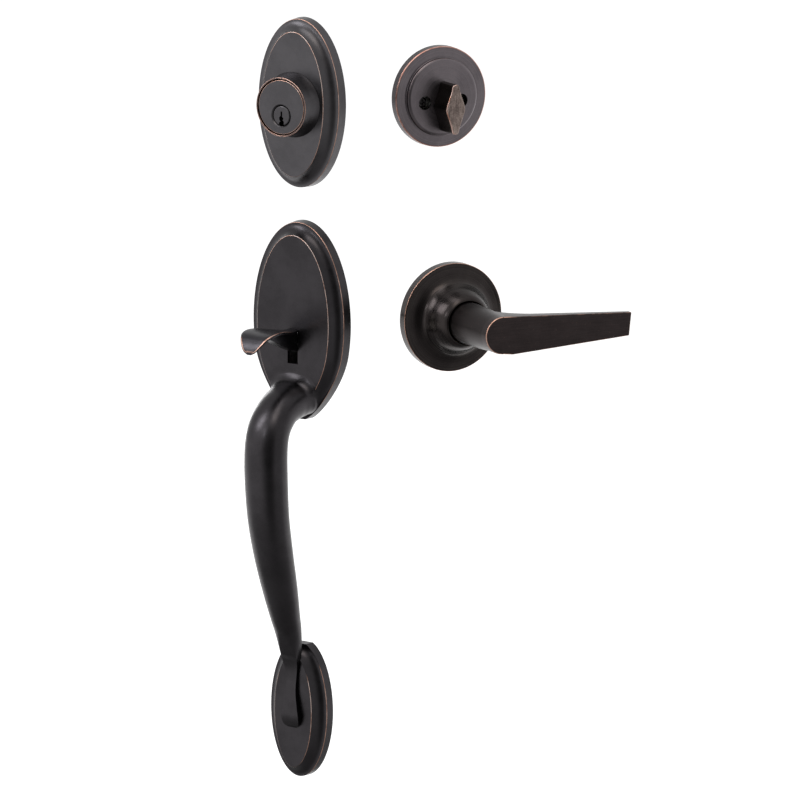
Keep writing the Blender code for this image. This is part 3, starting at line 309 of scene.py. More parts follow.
def lathe(line, sides=ROUND_SIDES, closed=False):
    """A line of (radius, height, rub), or without rub, turned about Z and capped unless closed."""
    line = [(*row, 0.0)[:3] for row in line]
    rings = [circle(radius, height, sides) for radius, height, _ in line]
    return skin(rings, [row[2] for row in line], closed)


def rod(radius, bottom, top, x=0.0, y=0.0, sides=48):
    return skin([circle(radius, bottom, sides, x, y), circle(radius, top, sides, x, y)])


def cross_rod(radius, y, z, half, sides):
    """A rod along X that reaches half its length to each side."""
    ring = circle(radius, 0.0, sides, y, z)
    return skin([[(x, up, out) for up, out, _ in ring] for x in (-half, half)])


def block(low, high):
    (x0, y0, z0), (x1, y1, z1) = low, high
    return skin([[(x0, y0, z), (x1, y0, z), (x1, y1, z), (x0, y1, z)] for z in (z0, z1)])


def rounded(corners, steps=6, closed=False, support=0.00025):
    """A line of (across, up, rub) through corners of (across, up, radius, rub), with an arc at each radius.

    Radius and rub may be left out. An arc takes no more than a share of the shorter side beside it, and a
    support point stands beyond each of its ends.
    """
    corners = [(*corner, 0.0, 0.0)[:4] for corner in corners]
    shorter_share = 0.42
    spare_share = 0.3
    line = []
    count = len(corners)
    for i, (across, up, radius, rub) in enumerate(corners):
        if radius <= 0.0 or (not closed and i in (0, count - 1)):
            line.append((across, up, 0.0 if radius <= 0.0 else rub))
            continue
        corner = Vector((across, up))
        back = Vector(corners[i - 1][:2]) - corner
        ahead = Vector(corners[(i + 1) % count][:2]) - corner
        reach = shorter_share * min(back.length, ahead.length)
        back_length, ahead_length = back.length, ahead.length
        back.normalize()
        ahead.normalize()
        half = back.angle(ahead) / 2
        cut = min(radius / math.tan(half), reach)
        radius = cut * math.tan(half)
        centre = corner + (back + ahead).normalized() * (radius / math.sin(half))
        start = corner + back * cut - centre
        end = corner + ahead * cut - centre
        sweep = start.angle_signed(end)
        before = corner + back * (cut + min(support, spare_share * (back_length - cut)))
        after = corner + ahead * (cut + min(support, spare_share * (ahead_length - cut)))
        line.append((before.x, before.y, 0.0))
        for k in range(steps + 1):
            turn = -sweep * k / steps
            point = centre + Vector((start.x * math.cos(turn) - start.y * math.sin(turn),
                                     start.x * math.sin(turn) + start.y * math.cos(turn)))
            line.append((point.x, point.y, rub * math.sin(math.pi * k / steps) ** 0.6))
        line.append((after.x, after.y, 0.0))
    return line


def smooth_path(points, steps):
    """A Catmull-Rom curve through points of any number of values."""
    points = np.array(points, float)
    padded = np.concatenate([points[:1], points, points[-1:]])
    found = []
    for i in range(len(points) - 1):
        a, b, c, d = padded[i:i + 4]
        for step in range(steps):
            t = step / steps
            found.append(0.5 * (2 * b + (c - a) * t + (2 * a - 5 * b + 4 * c - d) * t ** 2
                                + (3 * b - a - 3 * c + d) * t ** 3))
    found.append(points[-1])
    return np.array(found)


def piece(name, mesh, where, body, finish, *nodes, slot):
    """A shown piece, made in its door's frame, which rides on a body and stands for CAD nodes."""
    mesh.name = name
    mesh.transform(DOORS[where])
    mesh.shade_smooth()
    mesh.set_sharp_from_angle(angle=SHARP_ANGLE)
    mesh.materials.clear()
    mesh.materials.append(finish)
    thing = bpy.data.objects.new(name, mesh)
    link(thing)
    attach(thing, body)
    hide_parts(*nodes)


# Finishes

class Tree:
    """Short forms for building the nodes of a material or of the world."""

    def __init__(self, owner, door_frame=None, shader="Principled BSDF"):
        owner.use_nodes = True
        self.nodes = owner.node_tree.nodes
        self.links = owner.node_tree.links
        self.shader = self.nodes[shader]
        self.door_frame = door_frame
        self.found_place = None

    def add(self, kind, settings=None, **inputs):
        made = self.nodes.new(kind)
        for key, value in (settings or {}).items():
            setattr(made, key, value)
        for key, value in inputs.items():
            self.put(made, key, value)
        return made

    def put(self, made, key, value):
        """Sets a node's input, or links it where the value is another node's output."""
        if isinstance(value, bpy.types.NodeSocket):
            self.links.new(value, made.inputs[key])
        else:
            made.inputs[key].default_value = value

    def shade(self, key, value):
        self.put(self.shader, key, value)

    def maths(self, operation, first, second=0.0):
        made = self.add("ShaderNodeMath", {"operation": operation})
        self.put(made, 0, first)
        self.put(made, 1, second)
        return made.outputs[0]

    def times(self, first, second):
        return self.maths("MULTIPLY", first, second)

    def weighed(self, share, first, second):
        """A share of the first value and the rest of the second."""
        return self.maths("ADD", self.times(first, share), self.times(second, 1 - share))

    def noise(self, scale, detail=3.0, rough=0.55, at=None):
        at = self.place if at is None else at
        made = self.add("ShaderNodeTexNoise", Vector=at, Scale=scale, Detail=detail, Roughness=rough)
        return made.outputs["Fac"]

    def ramp(self, value, low, high, bottom=0.0, top=1.0):
        made = self.add("ShaderNodeMapRange", {"interpolation_type": "SMOOTHSTEP"})
        for i, part in enumerate((value, low, high, bottom, top)):
            self.put(made, i, part)
        return made.outputs[0]

    def blend(self, share, first, second):
        """A colour between two, where each is a triple or another node's output."""
        made = self.add("ShaderNodeMix", {"data_type": "RGBA"})
        self.put(made, 0, share)
        for index, colour in ((6, first), (7, second)):
            self.put(made, index, (*colour, 1.0) if isinstance(colour, tuple) else colour)
        return made.outputs[2]

    @property
    def place(self):
        """Where a point stands in its door's frame, or in the scene's where no door is given."""
        if self.found_place is None:
            self.found_place = self.add("ShaderNodeTexCoord").outputs["Object"]
            if self.door_frame is not None:
                made = self.add("ShaderNodeMapping", {"vector_type": "TEXTURE"}, Vector=self.found_place,
                                Location=self.door_frame.to_translation(),
                                Rotation=self.door_frame.to_euler())
                self.found_place = made.outputs["Vector"]
        return self.found_place

    def stretched(self, scale, slant=0.0):
        """The place with its axes scaled, and then turned about Z."""
        made = self.add("ShaderNodeMapping", Vector=self.place, Scale=scale, Rotation=(0.0, 0.0, slant))
        return made.outputs["Vector"]

    def bump(self, height, distance, strength):
        made = self.add("ShaderNodeBump", Height=height, Strength=strength, Distance=distance)
        self.shade("Normal", made.outputs["Normal"])


def brushing(tree, grain):
    """Fine lines round the door frame's Z axis, along its X axis, or down a face at a slant."""
    if grain == "turned":
        parts = tree.add("ShaderNodeSeparateXYZ", Vector=tree.place).outputs
        square = tree.maths("ADD", tree.times(parts[0], parts[0]), tree.times(parts[1], parts[1]))
        line = tree.add("ShaderNodeCombineXYZ", X=tree.maths("SQRT", square), Y=tree.times(parts[2], 0.3))
        return tree.noise(3200.0, 2.0, 0.6, at=line.outputs[0])
    if grain == "along":
        return tree.noise(1.0, 3.0, 0.6, at=tree.stretched((90.0, 2600.0, 2600.0)))
    return tree.noise(1.0, 3.0, 0.6, at=tree.stretched((1500.0, 120.0, 500.0), math.radians(-38.0)))


COPPER = (0.70, 0.41, 0.31)
STEP_BLUR = 0.0004           # over which the skin darkens below a height
BUMP_DEPTH = 0.00003


def bronze(name, where, dark, pale, roughness, copper=COPPER, grain=None, fleck=0.0, dark_below=None):
    """Oil-rubbed bronze: a dark satin skin, mottled a little, rubbed through to copper along its edges,
    with a painted highlight of paler copper where the rub is strongest.

    Below the height in dark_below, the skin keeps only the share of its colour that is given with it.
    """
    material = bpy.data.materials.new(name)
    tree = Tree(material, DOORS[where])
    cloud = tree.noise(55.0, 4.0, 0.6)
    speck = tree.noise(1300.0, 2.0, 0.5)
    tone = tree.weighed(0.75, cloud, speck)
    height = tree.weighed(0.6, speck, tree.noise(420.0))
    if grain:
        sheen = brushing(tree, grain)
        tone = tree.weighed(0.6, tone, sheen)
        height = tree.weighed(0.12, height, sheen)
    else:
        sheen = tree.noise(240.0)
    colour = tree.blend(tree.ramp(tone, 0.36, 0.64), dark, pale)
    if dark_below:
        limit, shade = dark_below
        up = tree.add("ShaderNodeSeparateXYZ", Vector=tree.place).outputs[2]
        deep = tree.ramp(up, limit - STEP_BLUR, limit, 1.0, 0.0)
        colour = tree.blend(deep, colour, tuple(shade * (a + b) / 2 for a, b in zip(dark, pale)))
    if fleck:
        spots = tree.ramp(tree.noise(620.0, 3.0, 0.65), 0.62, 0.74, 0.0, fleck)
        colour = tree.blend(spots, colour, copper)

    # The rub is broken up by noise. Where it is strongest the copper is painted paler, a painted highlight,
    # and is less of a metal.
    rub = tree.add("ShaderNodeAttribute", {"attribute_name": "rub"}).outputs["Fac"]
    broken = tree.times(rub, tree.ramp(tree.noise(160.0, 4.0, 0.65), 0.30, 0.60, 0.55, 1.0))
    share = tree.ramp(broken, 0.15, 0.85)
    # The share of the copper that is painted paler as a highlight
    bright = tree.ramp(broken, 0.85, 1.30)
    worn_and_highlight = tree.blend(bright, copper, tuple(1 - 0.45 * (1 - channel) for channel in copper))
    tree.shade("Metallic", tree.maths("SUBTRACT", 1.0, tree.times(tree.times(bright, share), 0.6)))
    tree.shade("Base Color", tree.blend(share, colour, worn_and_highlight))
    tree.shade("Roughness", tree.ramp(sheen, 0.25, 0.75, roughness - 0.03, roughness + 0.04))
    tree.bump(height, BUMP_DEPTH, 0.35)
    return material


def plain_metal(name, colour, roughness):
    """Plated or blackened steel, and spring wire, with a fine even grain."""
    material = bpy.data.materials.new(name)
    tree = Tree(material)
    grain = tree.noise(900.0, 3.0, 0.6)
    dull = tuple(channel * 0.82 for channel in colour)
    tree.shade("Base Color", tree.blend(tree.ramp(grain, 0.3, 0.7), dull, colour))
    tree.shade("Roughness", tree.ramp(tree.noise(300.0), 0.3, 0.7, roughness - 0.05, roughness + 0.06))
    tree.shade("Metallic", 1.0)
    tree.bump(grain, 0.00004, 0.3)
    return material


# The deadbolt's plate and plug get a bronze about twice as light as the handle's. It is the same finish;
# the difference is painted light, standing for the brighter light that falls on the deadbolt.
plate_bronze = bronze("plate bronze", "outside_deadbolt",
                      (0.083, 0.079, 0.084), (0.101, 0.096, 0.102), 0.34)
handle_bronze = bronze("handle bronze", "outside_handle",
                       (0.042, 0.039, 0.042), (0.054, 0.050, 0.054), 0.31)
thumb_bronze = bronze("thumbpiece bronze", "outside_handle",
                      (0.040, 0.038, 0.043), (0.052, 0.050, 0.055), 0.32)
rose_bronze = bronze("thumbturn rose bronze", "inside_thumbturn",
                     (0.150, 0.133, 0.143), (0.215, 0.190, 0.202), 0.33, copper=(0.55, 0.28, 0.22),
                     grain="turned", fleck=0.08, dark_below=(TURN_LEDGE - 0.0009, 0.30))
turn_bronze = bronze("thumbturn bronze", "inside_thumbturn",
                     (0.14, 0.108, 0.098), (0.56, 0.45, 0.40), 0.34, copper=(0.58, 0.29, 0.20),
                     grain="down", fleck=0.12, dark_below=(TURN_FRONT - 0.0006, 0.10))
lever_rose_bronze = bronze("lever rose bronze", "inside_lever",
                           (0.032, 0.027, 0.027), (0.054, 0.047, 0.045), 0.25, grain="turned", fleck=0.02)
lever_bronze = bronze("lever bronze", "inside_lever",
                      (0.035, 0.028, 0.028), (0.052, 0.041, 0.041), 0.32,
                      grain="along", fleck=0.06, dark_below=(LEVER_FRONT - 0.0060, 0.66))
# Painted lighter like the plate's, for the brighter light on the deadbolt.
plug_bronze = bronze("plug bronze", "outside_deadbolt",
                     (0.080, 0.076, 0.081), (0.099, 0.094, 0.100), 0.36)
zinc_steel = plain_metal("zinc-plated steel", (0.56, 0.56, 0.53), 0.34)
black_steel = plain_metal("blackened steel", (0.115, 0.110, 0.112), 0.30)
spring_bronze = plain_metal("spring bronze", (0.55, 0.40, 0.22), 0.30)


# Oval plates

def plate_line(rim, height):
    """(inset, height, rub) points from the ceiling of the hollow round the rim and up to the face."""
    corners = [(PLATE_WALL, 0.0), (0.0, 0.0, FOOT_ROUND), (RIM_DRAFT, rim, RIM_ROUND, 1.0),
               (RIM_DRAFT + RIM_LAND, rim)]
    start = RIM_DRAFT + RIM_ROUND
    for i in range(1, COVE_STEPS + 1):
        turn = COVE_SWEEP * i / COVE_STEPS
        across = start + math.sin(turn) / math.sin(COVE_SWEEP) * (COVE_WIDTH - RIM_ROUND)
        up = rim + (1 - math.cos(turn)) / (1 - math.cos(COVE_SWEEP)) * (height - rim)
        if across > RIM_DRAFT + COVE_START:
            corners.append((across, up))
    face, top = corners[-1]
    corners[-1] = (face, top, FACE_ROUND, 1.0)
    corners.append((face + FACE_LAND, top))
    back = [(face + PLATE_WALL, height - PLATE_WALL, 0.0), (PLATE_WALL + RIM_DRAFT, rim - PLATE_WALL, 0.0)]
    return back + rounded(corners)


# Insets and heights of the handle plate's front, from the rim's side on, in the order of the insets
HANDLE_FRONT = np.array(plate_line(*HANDLE_PLATE[2:])[4:])
HANDLE_FRONT = HANDLE_FRONT[np.argsort(HANDLE_FRONT[:, 0])]

# How strongly the rim's and the face's edges are rubbed to copper, and the turns towards the upper right
# where that peaks: the peak is a painted highlight.
RIM_RUB_AND_HIGHLIGHT = 0.60
RIM_HIGHLIGHT_TURN = math.radians(20.0)
FACE_RUB_AND_HIGHLIGHT = 0.80
FACE_HIGHLIGHT_TURN = math.radians(42.0)
SPARED_FADE = 12.0


def narrowed(y):
    """The handle plate's width at a height, as a share of an oval's: below 1 towards its chin."""
    run = np.clip((-np.asarray(y, float) - TAPER_START) / TAPER_RUN, 0.0, 1.2)
    return 1 - TAPER_SHARE * run ** TAPER_POWER


def oval_plate(sizes, centre=0.0, taller=0.0, taper=False, spared=None):
    """A coved oval shell whose upper half may be a little taller, and whose lower half may taper.

    Its two edges are rubbed to copper, and not at all within spared, which gives the middle of a range and
    half its width in degrees. The rub rises towards the upper right as a painted highlight on the edges.
    """
    half_width, half_height, rim, height = sizes
    turn = 2 * np.pi * np.arange(OVAL_SIDES) / OVAL_SIDES
    line = plate_line(rim, height)
    rings = []
    for inset, z, _ in line:
        across = (half_width - inset) * np.cos(turn)
        up = (half_height - inset + np.where(np.sin(turn) > 0, taller, 0.0)) * np.sin(turn)
        if taper:
            across = across * narrowed(up)
        rings.append(np.stack([across, centre + up, np.full(OVAL_SIDES, z)], 1))
    kept = np.ones(OVAL_SIDES)
    if spared:
        middle, half = spared
        away = np.abs((np.degrees(turn) - middle + 180) % 360 - 180)
        kept = np.clip((away - half) / SPARED_FADE, 0.0, 1.0)
    # The rub's rise towards the upper right is a painted highlight on the copper edges.
    rim_rub_and_highlight = kept * np.clip(RIM_RUB_AND_HIGHLIGHT * (1 + np.cos(turn - RIM_HIGHLIGHT_TURN)), 0.10, 1.20)
    face_rub_and_highlight = kept * np.clip(FACE_RUB_AND_HIGHLIGHT * (1 + np.cos(turn - FACE_HIGHLIGHT_TURN)), 0.45, 1.60)
    return skin(rings, [rub * (rim_rub_and_highlight if inset < COVE_WIDTH / 2 else face_rub_and_highlight) for inset, _, rub in line])


def handle_height(x, y):
    """How high the handle plate's front stands over the door at (x, y), and 0 beside it."""
    half_width, half_height = HANDLE_PLATE[:2]
    x = np.abs(np.asarray(x, float)) / narrowed(y)
    y = np.abs(np.asarray(y, float))
    low = np.full(x.shape, -0.02)
    high = np.full(x.shape, half_width - 0.0005)
    for _ in range(32):
        middle = (low + high) / 2
        inside = (x / (half_width - middle)) ** 2 + (y / (half_height - middle)) ** 2 < 1
        low = np.where(inside, middle, low)
        high = np.where(inside, high, middle)
    return np.where(low < 0, 0.0, np.interp(low, HANDLE_FRONT[:, 0], HANDLE_FRONT[:, 1]))


# Grip

def grip_sections():
    """Points of the grip's sections, (section, point, xyz), from inside the upper plate to the teardrop.

    A row is (how far down, how far out, width, depth), in shares of the drop, the reach and the half sizes.
    """
    grip = [(-0.004, -0.07, 1.12, 1.08), (0.000, 0.05, 1.05, 1.03), (0.006, 0.24, 0.99, 1.01),
            (0.026, 0.58, 0.95, 0.98), (0.070, 0.88, 0.96, 0.99), (0.130, 1.00, 0.98, 0.98),
            (0.225, 1.00, 0.99, 0.97), (0.350, 0.92, 0.96, 0.94), (0.472, 0.73, 0.91, 0.89),
            (0.594, 0.48, 0.81, 0.80), (0.692, 0.27, 0.67, 0.69), (0.770, 0.07, 0.55, 0.57)]
    tail = [(0.850, -0.07, 0.80, 0.86), (0.926, -0.03, 0.62, 0.66), (0.979, -0.02, 0.86, 0.76),
            (1.010, -0.02, 1.06, 0.84), (1.036, -0.03, 0.96, 0.62), (1.049, -0.04, 0.50, 0.30)]
    rows = []
    for part, half_width, half_depth in ((grip, GRIP_HALF_WIDTH, GRIP_HALF_DEPTH),
                                         (tail, TEARDROP_HALF_WIDTH, TEARDROP_HALF_DEPTH)):
        for down, out, width, depth in part:
            face = HANDLE_PLATE[3] if down < 0.3 else LOWER_PLATE[3]
            rows.append((-NECK_DROP - down * (LOWER_DROP - NECK_DROP), face + out * (GRIP_REACH - face),
                         width * half_width, depth * half_depth, down))
    path = smooth_path(rows, GRIP_STEPS)
    turn = 2 * np.pi * np.arange(GRIP_SIDES) / GRIP_SIDES
    power = 2 / SECTION_POWER
    sideways = bent(np.cos(turn), power)
    towards_door = bent(np.sin(turn), power)
    squared = np.sign(sideways)

    # Past the teardrop's start, the side away from the door turns into a flat top with upright walls, and
    # the side towards the door, which lies in the lower plate, thins out to its edges
    sections = []
    for i, row in enumerate(path):
        run = path[min(i + 1, len(path) - 1), :2] - path[max(i - 1, 0), :2]
        run = run / np.hypot(*run)
        straight = np.clip((row[4] - TEARDROP_START) / TEARDROP_BLEND, 0.0, 1.0)
        wide = np.where(towards_door < 0, sideways + straight * (squared - sideways), sideways)
        thinned = 1 - straight * 0.92 * np.abs(wide) ** 1.2
        deep = row[3] * towards_door * np.where(towards_door > 0, thinned, 1.0)
        sections.append(np.stack([wide * row[2], row[0] - deep * run[1], row[1] + deep * run[0]], 1))
    return np.array(sections), path[:, 4]


def grip_mesh():
    """The grip with a fillet where its neck leaves the upper plate."""
    sections, down = grip_sections()
    last = int(np.argmin(np.abs(down - NECK_END)))
    index = np.arange(len(sections))
    chin = -(HANDLE_PLATE[1] - CHIN_CUT) + 0.00002
    arc = np.linspace(0.0, np.pi / 2, FILLET_STEPS + 1)

    def line_at(k, t):
        """The point at t sections along line k of the grip."""
        return np.array([np.interp(t, index, sections[:, k, axis]) for axis in range(3)])

    def above(point):
        return point[2] - float(handle_height(point[0], max(point[1], chin)))

    def started(lifts):
        """Where each line comes down to its lift over the plate."""
        found = []
        for k in range(GRIP_SIDES):
            t = float(last)
            while t > 0.1 and above(line_at(k, t)) > lifts[k]:
                t -= 0.1
            found.append(t)
        return np.array(found)

    def outwards(ring):
        """The way out of a ring at each of its points, seen from the front."""
        tangent = np.roll(ring, -1, 0) - np.roll(ring, 1, 0)
        way = np.stack([tangent[:, 1], -tangent[:, 0]], 1)
        way /= np.maximum(np.hypot(way[:, 0], way[:, 1]), 1e-9)[:, None]
        return way if np.sum((ring[:, :2] - ring.mean(0)[:2]) * way) > 0 else -way

    # The fillet shrinks where the neck comes close to the plate's rim
    root = started(np.zeros(GRIP_SIDES))
    crossing = np.array([line_at(k, root[k]) for k in range(GRIP_SIDES)])
    push = outwards(crossing)
    half_width = HANDLE_PLATE[0] - FILLET_BORDER
    half_height = HANDLE_PLATE[1] - FILLET_BORDER
    size = np.full(GRIP_SIDES, NECK_FILLET)
    for k in range(GRIP_SIDES):
        for reach in np.linspace(0.0, NECK_FILLET, 25):
            x, y = crossing[k, :2] + push[k] * reach
            y = max(y, chin)
            if (x / (half_width * float(narrowed(y)))) ** 2 + (y / half_height) ** 2 > 1:
                size[k] = max(LEAST_FILLET, reach)
                break
    for _ in range(3):
        size = np.minimum(size, (np.roll(size, 1) + size + np.roll(size, -1)) / 3)
    starts = started(size)
    crossing = np.array([line_at(k, starts[k]) for k in range(GRIP_SIDES)])
    push = outwards(crossing)

    fillet = []
    for turn in arc[::-1]:
        ring = []
        for k in range(GRIP_SIDES):
            spread = size[k] * (1 - math.cos(turn))
            lift = size[k] * (1 - math.sin(turn))
            heights = sections[:last + 1, k, 2]
            t = starts[k]
            for _ in range(10):
                base = line_at(k, t)
                x = base[0] + push[k, 0] * spread
                y = max(base[1] + push[k, 1] * spread, chin)
                z = float(handle_height(x, y)) + lift
                t = min(float(np.interp(z, heights, index[:last + 1])), starts[k])
            ring.append((x, y, z))
        fillet.append(ring)
    foot = [(x * 0.999, max(y, chin), z - 0.0009) for x, y, z in fillet[0]]
    rings = [foot, *fillet[:-1]]
    for j in range(NECK_STEPS):
        at = starts + (last - starts) * j / NECK_STEPS
        rings.append([line_at(k, at[k]) for k in range(GRIP_SIDES)])
    rings.extend(sections[last:])
    return skin([np.array(ring) for ring in rings])


def make_handle():
    chin = HANDLE_PLATE[1] - CHIN_CUT
    lower_chin = LOWER_PLATE[1] - LOWER_CHIN_CUT
    upper_under = HANDLE_PLATE[3] - PLATE_WALL
    lower_under = LOWER_PLATE[3] - PLATE_WALL
    below = block((-FAR, -chin - 0.02, -OVER), (FAR, -chin, 0.03))
    slot = block((-SLOT_HALF_WIDTH, -SLOT_BOTTOM, 0.005), (SLOT_HALF_WIDTH, -SLOT_TOP, 0.02))
    upper = oval_plate(HANDLE_PLATE, taller=HANDLE_TALLER, taper=True, spared=(270.0, 28.0))
    upper = carved(upper, [below, slot])
    top = -LOWER_DROP + lower_chin
    above = block((-FAR, top, -OVER), (FAR, top + 0.02, 0.03))
    lower = oval_plate(LOWER_PLATE, -LOWER_DROP, taller=LOWER_TALLER, spared=(90.0, 42.0))
    lower = carved(lower, [above])

    extras = []
    seat = BRACKET_FRONT + GAP
    for side in (-1, 1):
        x = side * POST_SPACING / 2
        extras.append(carved(rod(POST_RADIUS, seat, upper_under + SINK, x),
                             [rod(POST_HOLE_RADIUS, seat - OVER, seat + 0.006, x)]))
    for up in (BOSS_RISE, -BOSS_FALL):
        extras.append(carved(rod(BOSS_RADIUS, seat, upper_under + SINK, 0.0, up),
                             [rod(BOSS_HOLE_RADIUS, seat - OVER, upper_under - 0.001, 0.0, up)]))
    stud = -LOWER_DROP - LOWER_STUD_FALL
    extras.append(carved(rod(STUD_BOSS_RADIUS, 0.0010, lower_under + SINK, 0.0, stud),
                         [rod(STUD_HOLE_RADIUS, 0.0, lower_under - 0.0010, 0.0, stud)]))

    # A wall closes each plate where its chin is cut
    inset = RIM_DRAFT + RIM_ROUND
    for cut, sizes, centre, side, share, taller in (
            (chin, HANDLE_PLATE, 0.0, -1, float(narrowed(-chin)), 0.0),
            (lower_chin, LOWER_PLATE, -LOWER_DROP, 1, 1.0, LOWER_TALLER)):
        half = share * (sizes[0] - inset) * math.sqrt(1 - (cut / (sizes[1] - inset + taller)) ** 2)
        ends = sorted((centre + side * (cut - 0.00005), centre + side * (cut - PLATE_WALL)))
        extras.append(block((-half, ends[0], 0.0), (half, ends[1], sizes[2] - RIM_ROUND)))
    piece("handle_casting_fine", merged(upper, lower, grip_mesh(), *extras), "outside_handle", TRIM,
          handle_bronze, "handle_casting", slot="handle_bronze")


# Deadbolt and cylinder

def make_deadbolt():
    body_bore = SHELL_BODY_RADIUS + GAP
    plate = carved(oval_plate(BOLT_PLATE), [rod(body_bore, -OVER, 0.02, sides=96)])

    web_back = BOLT_PLATE[3] + GAP
    web_front = web_back + COLLAR_WEB
    bore = COLLAR_FRONT_RADIUS - COLLAR_RIM
    collar = rounded([(bore, COLLAR_FRONT, 0.00018, 0.9), (COLLAR_FRONT_RADIUS, COLLAR_FRONT, 0.00030, 1.1),
                      (COLLAR_FRONT_RADIUS + 0.0004, (COLLAR_FRONT + web_back) / 2),
                      (COLLAR_FRONT_RADIUS + 0.0011, web_back + 0.0020), (COLLAR_BASE_RADIUS, web_back),
                      (body_bore, web_back), (body_bore, web_front), (bore, web_front)], closed=True)
    collar = lathe(collar, closed=True)

    front = COLLAR_FRONT - SHELL_SINK
    head = bore - SHELL_GROOVE
    neck = web_front + GAP
    shell = lathe(rounded([(head * 0.5, front), (head, front, 0.0004, 1.25), (head, neck),
                           (SHELL_BODY_RADIUS, neck), (SHELL_BODY_RADIUS, SHELL_BACK, 0.0003),
                           (SHELL_BODY_RADIUS * 0.5, SHELL_BACK)]))
    plug_bore = PLUG_RADIUS + GAP
    mouth = plug_bore + PLUG_MOUTH
    bore_cut = lathe([(mouth, front + OVER), (mouth, front), (plug_bore, front - PLUG_MOUTH),
                      (plug_bore, SHELL_BACK - OVER)], 96)
    cutters = [moved(bore_cut, y=-PLUG_DROP)]
    for side in (-1, 1):
        cutters.append(rod(SCREW_RADIUS - GAP, SHELL_BACK - OVER, SHELL_BACK + 0.012,
                           side * SCREW_SPACING / 2, -SCREW_DROP))
    shell = carved(shell, cutters)
    for name, mesh in (("deadbolt_plate", plate), ("cylinder_collar", collar), ("cylinder_shell", shell)):
        piece(f"{name}_fine", mesh, "outside_deadbolt", TRIM, plate_bronze, name, slot="plate_bronze")

    plug_front = front - GAP
    ceiling = PLUG_BACK + POCKET_DEPTH
    plug = lathe(rounded([(PLUG_RADIUS * 0.5, plug_front), (PLUG_RADIUS, plug_front, 0.0009),
                          (PLUG_RADIUS, PLUG_BACK), (POCKET_RADIUS, PLUG_BACK), (POCKET_RADIUS, ceiling),
                          (POCKET_RADIUS * 0.5, ceiling)]), 96)
    edge = -PLUG_RADIUS - OVER
    keyway = [(0.0006, 0.0028), (-0.0006, 0.0028), (-0.0006, 0.0002), (-0.0016, -0.0010),
              (-0.0016, -0.0026), (-0.0008, -0.0034), (-0.0018, -0.0044), (-0.0018, edge), (0.0018, edge),
              (0.0018, -0.0036), (0.0010, -0.0026), (0.0016, -0.0016), (0.0006, -0.0006)]
    key_cut = skin([[(x, y, z) for x, y in keyway] for z in (plug_front - KEYWAY_DEPTH, plug_front + OVER)])
    piece("key_plug_fine", moved(carved(plug, [key_cut]), y=-PLUG_DROP), "outside_deadbolt", PLUG,
          plug_bronze, "key_plug", slot="plug_bronze")


# Thumbpiece

def make_thumbpiece():
    """A pad row is (how far out, how far down, width), in shares of its length, droop and half width."""
    rows = [(0.00, 0.08, 0.34), (0.12, 0.05, 0.42), (0.30, -0.14, 0.62), (0.50, -0.38, 0.91),
            (0.66, -0.46, 1.00), (0.80, -0.36, 0.95), (0.88, -0.16, 0.82), (0.94, 0.18, 0.66),
            (0.975, 0.48, 0.50), (0.992, 0.70, 0.36), (1.00, 0.84, 0.18)]
    face = HANDLE_PLATE[3]
    turn = 2 * np.pi * np.arange(PAD_SIDES) / PAD_SIDES
    across = bent(np.cos(turn), 0.72)
    up = bent(np.sin(turn), 0.62)
    near, far = (np.exp(-((np.degrees(turn) - middle) / 8) ** 2) for middle in (24, 156))
    rings, rubs = [], []
    for share, droop, width in smooth_path(rows, PAD_STEPS):
        end = min(1.0, 0.60 + 4 * (1 - share))
        sag = PAD_DISH * width ** 2 * (1 - across ** 2)
        middle = -PAD_TOP_DROP - droop * PAD_DROOP - PAD_THICKNESS / 2 - sag
        rings.append(np.stack([width * PAD_HALF_WIDTH * across, middle + up * end * PAD_THICKNESS / 2,
                               np.full(PAD_SIDES, face + 2 * GAP + share * PAD_LENGTH)], 1))
        near_rub = near * np.clip((share - 0.10) / 0.15, 0.0, 1.0)
        far_rub = far * np.clip((share - 0.86) / 0.08, 0.0, 1.0)
        lip = 0.36 * (share > 0.995) * (up > 0.8)
        rubs.append(1.2 * np.clip(np.maximum(near_rub + far_rub, lip), 0.0, 1.0))
    pad = skin(rings, rubs)

    half = SLOT_HALF_WIDTH - 0.0004
    top = -SLOT_TOP - 0.0007
    depth = SLOT_BOTTOM - SLOT_TOP
    boss_top = PIVOT_BOSS_RADIUS - PIVOT_DROP
    over = [(face + out * PAD_LENGTH, top + rise) for out, rise in (
        (0.0, 0.0), (0.30, 0.0020), (0.58, 0.0032), (0.66, 0.0016))]
    under = [(face + out * PAD_LENGTH, -SLOT_TOP - fall * depth) for out, fall in (
        (0.34, 0.30), (0.10, 0.53), (0.0, 0.61))]
    web = [(PIVOT_OUT, boss_top), *over, *under, (PIVOT_OUT, boss_top - 2 * PIVOT_BOSS_RADIUS)]
    web_mesh = skin([[(x, y, z) for z, y in web] for x in (-half, half)])
    shape = bmesh.new()
    shape.from_mesh(web_mesh)
    bmesh.ops.bevel(shape, geom=shape.edges[:], offset=0.0004, segments=3, affect="EDGES", profile=0.5)
    shape.to_mesh(web_mesh)
    shape.free()
    boss = cross_rod(PIVOT_BOSS_RADIUS, -PIVOT_DROP, PIVOT_OUT, half, 48)
    hole = cross_rod(PIVOT_RADIUS + GAP, -PIVOT_DROP, PIVOT_OUT, half + OVER, 32)
    body = carved(carved(web_mesh, [boss], "UNION"), [hole])
    piece("thumbpiece_fine", merged(pad, body), "outside_handle", THUMB, thumb_bronze, "thumbpiece",
          slot="thumb_bronze")


# Thumbturn

